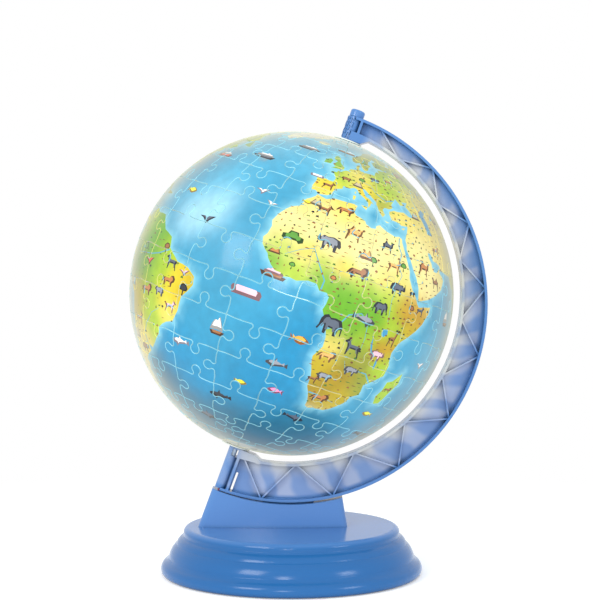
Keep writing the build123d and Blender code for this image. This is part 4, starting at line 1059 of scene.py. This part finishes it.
def rim_of(piece):
    """The corners round a piece's outer face, in order: the edges that only one of its triangles has."""
    edges = set()
    for corners, _, _ in piece:
        for a, b in zip(corners, corners[1:] + corners[:1]):
            if (b, a) in edges:
                edges.remove((b, a))
            else:
                edges.add((a, b))
    follow = dict(edges)
    loop = [min(follow)]
    while follow[loop[-1]] != loop[0]:
        loop.append(follow[loop[-1]])
    return loop


def print_colours(mesh, paint):
    """Lays the paint on the mesh, one colour for each corner of each face."""
    colours = np.ones((len(paint), 4), dtype=np.float32)
    colours[:, :3] = np.array(paint)
    layer = mesh.color_attributes.new("paint", "FLOAT_COLOR", "CORNER")
    layer.data.foreach_set("color", colours.ravel())


def crease(mesh, kinds):
    """Shades the mesh smooth, with a sharp edge wherever two kinds of face meet."""
    mesh.shade_smooth()
    edge_of = np.empty(len(mesh.loops), dtype=np.int32)
    mesh.loops.foreach_get("edge_index", edge_of)
    kind_of = np.repeat(np.array(kinds), [len(face.vertices) for face in mesh.polygons])
    least, most = np.full(len(mesh.edges), BACK + 1), np.full(len(mesh.edges), -1)
    np.minimum.at(least, edge_of, kind_of)
    np.maximum.at(most, edge_of, kind_of)
    sharp = mesh.attributes.new("sharp_edge", "BOOLEAN", "EDGE")
    sharp.data.foreach_set("value", least != most)


def row_mesh(k, units, pieces, coast_tree, mixers, settings):
    """One row of jigsaw pieces as a mesh of separate closed pieces, with its paint on the corners."""
    painted_light_in_sea_joints = np.array(tuple(settings.sea_joint_painted_light))
    painted_light_in_land_joints = np.array(tuple(settings.land_joint_painted_light))
    shore = np.array(linear(INK["shore"]))
    land_mix, sea_mix = mixers
    inner = BALL_R - SHELL
    turn = math.radians(MAP_TURN)
    raised = {v for piece in pieces for corners, top, _ in piece if top for v in corners}
    mixed, placed = {}, {}
    verts, faces, kinds, inks = [], [], [], []

    def colour(v, paint, top):
        if isinstance(paint, tuple) and top:
            return np.array(linear(paint))
        key = (v, paint, top)
        if key not in mixed:
            if not top:
                # painted light: the joint's chamfer is painted with the lamp's light, tinted by the print
                # that it crosses
                ground = land_mix(units[v]) if paint == "land" else sea_mix(units[v])
                mixed[key] = (painted_light_in_land_joints if paint == "land" else painted_light_in_sea_joints) * 0.62 + ground * 0.38
            elif paint is None:
                # open sea, paler near a coast
                wash = 0.75 * math.exp(-((coast_tree.find(units[v])[2] / 0.03) ** 2))
                mixed[key] = sea_mix(units[v]) * (1 - wash) + shore * wash
            elif paint == "land":
                mixed[key] = land_mix(units[v])
            else:
                mixed[key] = np.array(linear(INK[paint]))
        return mixed[key]

    def place(v, height):
        key = (v, height)
        if key not in placed:
            placed[key] = len(verts)
            u = units[v]
            east = u.x * math.sin(turn) + u.y * math.cos(turn)
            front = u.x * math.cos(turn) - u.y * math.sin(turn)
            verts.append(CENTRE + (ACROSS * east + FRONT * front + AXIS * u.z) * height)
        return placed[key]

    def on_face(v):
        return place(v, BALL_R if v in raised else BALL_R - settings.seam_depth)

    def add(kind, corners, paint):
        faces.append(corners)
        kinds.append(kind)
        inks.extend(paint)

    for piece in pieces:
        for tri, top, paint in piece:
            add(PRINT if top else CHAMFER, [on_face(v) for v in tri], [colour(v, paint, top) for v in tri])
        loop = rim_of(piece)
        # the sides and backs are painted with the sea joint's painted light
        for a, b in zip(loop, loop[1:] + loop[:1]):
            add(SIDE, [on_face(b), on_face(a), place(a, inner), place(b, inner)], [painted_light_in_sea_joints] * 4)
        for tri in geometry.tessellate_polygon([[verts[place(v, inner)] for v in loop]]):
            corners = [place(loop[v], inner) for v in tri]
            normal = geometry.normal([verts[c] for c in corners])
            if normal.dot(verts[corners[0]] - CENTRE) > 0:
                corners.reverse()
            add(BACK, corners, [painted_light_in_sea_joints] * 3)
    mesh = bpy.data.meshes.new(f"jigsaw_row_{k + 1:02d}")
    mesh.from_pydata(verts, [], faces)
    print_colours(mesh, inks)
    crease(mesh, kinds)
    return mesh


class GLOBE_OT_print_ball(bpy.types.Operator):
    """Paint the map, cut it into jigsaw pieces and wrap them round the axis."""

    bl_idname = "globe.print_ball"
    bl_label = "Print and cut the ball"

    def execute(self, context):
        settings = context.scene.globe_settings
        paints, coast = all_paint()
        shores = [to_unit(*p) for loop in coast.values() for p in loop]
        tree = kdtree.KDTree(len(shores))
        for i, unit in enumerate(shores):
            tree.insert(unit, i)
        tree.balance()
        mixers = blot_mixer(LAND_BLOTS, "olive"), blot_mixer(SEA_BLOTS, "sea")
        material = print_finish(settings)
        units, pieces = cut_map(piece_outlines(), paints, settings)
        for k in range(ROWS):
            row = [pieces[key] for key in sorted(pieces) if key[0] == k]
            mesh = row_mesh(k, units, row, tree, mixers, settings)
            mesh.materials.append(material)
            made = bpy.data.objects.new(f"jigsaw_pieces_row_{k + 1:02d}", mesh)
            context.scene.collection.objects.link(made)
            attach(made, "globe")
            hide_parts(f"puzzle_row_{k + 1:02d}")
        return {"FINISHED"}


class GLOBE_OT_finish_stand(bpy.types.Operator):
    """Give the mouldings, screws and rubber of the stand their finishes."""

    bl_idname = "globe.finish_stand"
    bl_label = "Finish the stand"

    def execute(self, context):
        settings = context.scene.globe_settings
        blue = blue_moulding("tinted_blue_painted_light", settings)
        for node in ("base_bell", "meridian_arm", "top_pin", "arm_clamp"):
            dress(node, blue)
        plate = plain_finish("plate_blue", (38, 96, 160), 700.0, 0.12, roughness=0.38)
        for node in ("base_plate", "battery_door", "switch_knob"):
            dress(node, plate)
        dress("grip_ring", plain_finish("grip_rubber", (34, 34, 36), 1500.0, 0.4, roughness=0.8))
        steel = plain_finish("zinc_plate", (186, 188, 190), 2500.0, 0.15, metallic=1.0, roughness=0.32)
        for node in ("base_screws", "battery_door_screw", "arm_screws", "switch_screws"):
            dress(node, steel)
        cap = plain_finish("milky_cap", (232, 236, 226), 600.0, 0.1, roughness=0.4)
        for node in ("top_pole_cap", "bottom_pole_cap"):
            dress(node, cap)
        return {"FINISHED"}


class GLOBE_OT_finish_power(bpy.types.Operator):
    """Give the cells, contacts, boards, wires and lamp their finishes."""

    bl_idname = "globe.finish_power"
    bl_label = "Finish the power and lamp parts"

    def execute(self, context):
        jacket = plain_finish("cell_jacket", (52, 58, 66), 500.0, 0.05, roughness=0.3)
        for index in (1, 2, 3):
            dress(f"battery_cell_{index}", jacket)
        nickel = plain_finish("nickel_plate", (206, 204, 196), 2500.0, 0.1, metallic=1.0, roughness=0.22)
        for node in ("contact_plates", "contact_springs"):
            dress(node, nickel)
        board = plain_finish("solder_mask", (24, 110, 62), 900.0, 0.15, roughness=0.42)
        for node in ("switch_board", "lamp_board"):
            dress(node, board)
        dress("switch_body", plain_finish("black_moulding", (26, 26, 28), 900.0, 0.2, roughness=0.5))
        sleeve = plain_finish("wire_sleeve", (190, 40, 34), 700.0, 0.05, roughness=0.45)
        for node in ("lamp_lead", "battery_lead"):
            dress(node, sleeve)
        white = plain_finish("lamp_white", (210, 226, 240), 800.0, 0.08, roughness=0.4)
        for node in ("lamp_stem", "lamp_holder"):
            dress(node, white)
        dress("lamp_leds", glow_finish("led_lens", (255, 240, 190), 4.0, 0.15))
        dress("lamp_diffuser", glow_finish("frosted_lens", (255, 246, 214), 2.0, 0.55))
        return {"FINISHED"}


# ------------------------------------------------------------------ stage
FLOOR_R = 0.5
# where the camera stands to the right of the spin axis and above the ball's middle, and its tilt in degrees
CAMERA_ASIDE, CAMERA_ABOVE, CAMERA_DROP = 0.0031, 0.0084, 0.79
# name, place, side in metres, watts and colour
LAMPS = (
    ("key_light", (-0.9, -1.1, 0.9), 0.55, 9.0, (1, 0.98, 0.95)),
    ("fill_light", (1.2, -0.9, 0.6), 0.4, 4.0, (0.96, 0.98, 1)),
    ("low_light", (-0.15, -1.3, 0.35), 0.22, 2.0, (1, 1, 1)),
)


class GLOBE_OT_studio(bpy.types.Operator):
    """Set a pale floor, soft light and the camera round the globe."""

    bl_idname = "globe.studio"
    bl_label = "Set up the studio"

    def execute(self, context):
        settings = context.scene.globe_settings
        scene = context.scene
        floor_mesh = bpy.data.meshes.new("studio_floor")
        turns = [math.tau * i / 64 for i in range(64)]
        rim = [(FLOOR_R * math.cos(t), FLOOR_R * math.sin(t), 0) for t in turns]
        floor_mesh.from_pydata(rim, [], [range(64)])
        floor = bpy.data.objects.new("studio_floor", floor_mesh)
        scene.collection.objects.link(floor)
        pale = Finish("pale_floor", {"Roughness": 0.9, "Specular IOR Level": 0.0, "Emission Strength": 0.3})
        place = pale.place()
        reach = pale.node("ShaderNodeVectorMath", {"operation": "LENGTH"}, {0: place}, 1)
        shade = pale.blend(pale.noise(2.0), (0.84, 0.84, 0.84), (0.87, 0.87, 0.87))
        pale.feed(pale.shader, "Base Color", shade)
        pale.feed(pale.shader, "Emission Color", (1, 1, 1, 1))
        # the floor fades into the white room towards its rim
        pale.feed(pale.shader, "Alpha", 1.0 - reach.between(FLOOR_R * 0.4, FLOOR_R * 0.95))
        floor_mesh.materials.append(pale.material)

        world = bpy.data.worlds.new("white_room")
        world.use_nodes = True
        world.node_tree.nodes["Background"].inputs[0].default_value = (1, 1, 1, 1)
        scene.world = world
        scene.view_settings.view_transform = "Standard"

        for name, place, size, power, colour in LAMPS:
            light = bpy.data.lights.new(name, "AREA")
            light.size, light.energy, light.color = size, power, colour
            lamp = bpy.data.objects.new(name, light)
            lamp.location = place
            lamp.rotation_euler = (CENTRE - Vector(place)).to_track_quat("-Z", "Y").to_euler()
            scene.collection.objects.link(lamp)

        camera = bpy.data.objects.new("camera", bpy.data.cameras.new("camera"))
        camera.data.lens = settings.camera_lens
        camera.data.clip_start = 0.01
        camera.data.clip_end = 200
        camera.location = (CAMERA_ASIDE, -settings.camera_distance, CENTRE.z + CAMERA_ABOVE)
        camera.rotation_euler = (math.radians(90 - CAMERA_DROP), 0, 0)
        scene.collection.objects.link(camera)
        scene.camera = camera
        return {"FINISHED"}


class GLOBE_PT_panel(bpy.types.Panel):
    """Lists the globe's settings and steps in the sidebar."""

    bl_idname = "GLOBE_PT_panel"
    bl_label = "Jigsaw globe"
    bl_space_type = "VIEW_3D"
    bl_region_type = "UI"
    bl_category = "Globe"

    def draw(self, context):
        for name in GlobeSettings.__annotations__:
            self.layout.prop(context.scene.globe_settings, name)
        for operator in STEPS:
            self.layout.operator(operator.bl_idname)


STEPS = (GLOBE_OT_studio, GLOBE_OT_finish_stand, GLOBE_OT_finish_power, GLOBE_OT_print_ball)
CLASSES = (GlobeSettings, *STEPS, GLOBE_PT_panel)


def register():
    for cls in CLASSES:
        bpy.utils.register_class(cls)
    bpy.types.Scene.globe_settings = bpy.props.PointerProperty(type=GlobeSettings)


def unregister():
    del bpy.types.Scene.globe_settings
    for cls in reversed(CLASSES):
        bpy.utils.unregister_class(cls)


def main():
    register()
    bpy.ops.globe.studio()
    bpy.ops.globe.finish_stand()
    bpy.ops.globe.finish_power()
    bpy.ops.globe.print_ball()


if __name__ == "__main__":
    main()
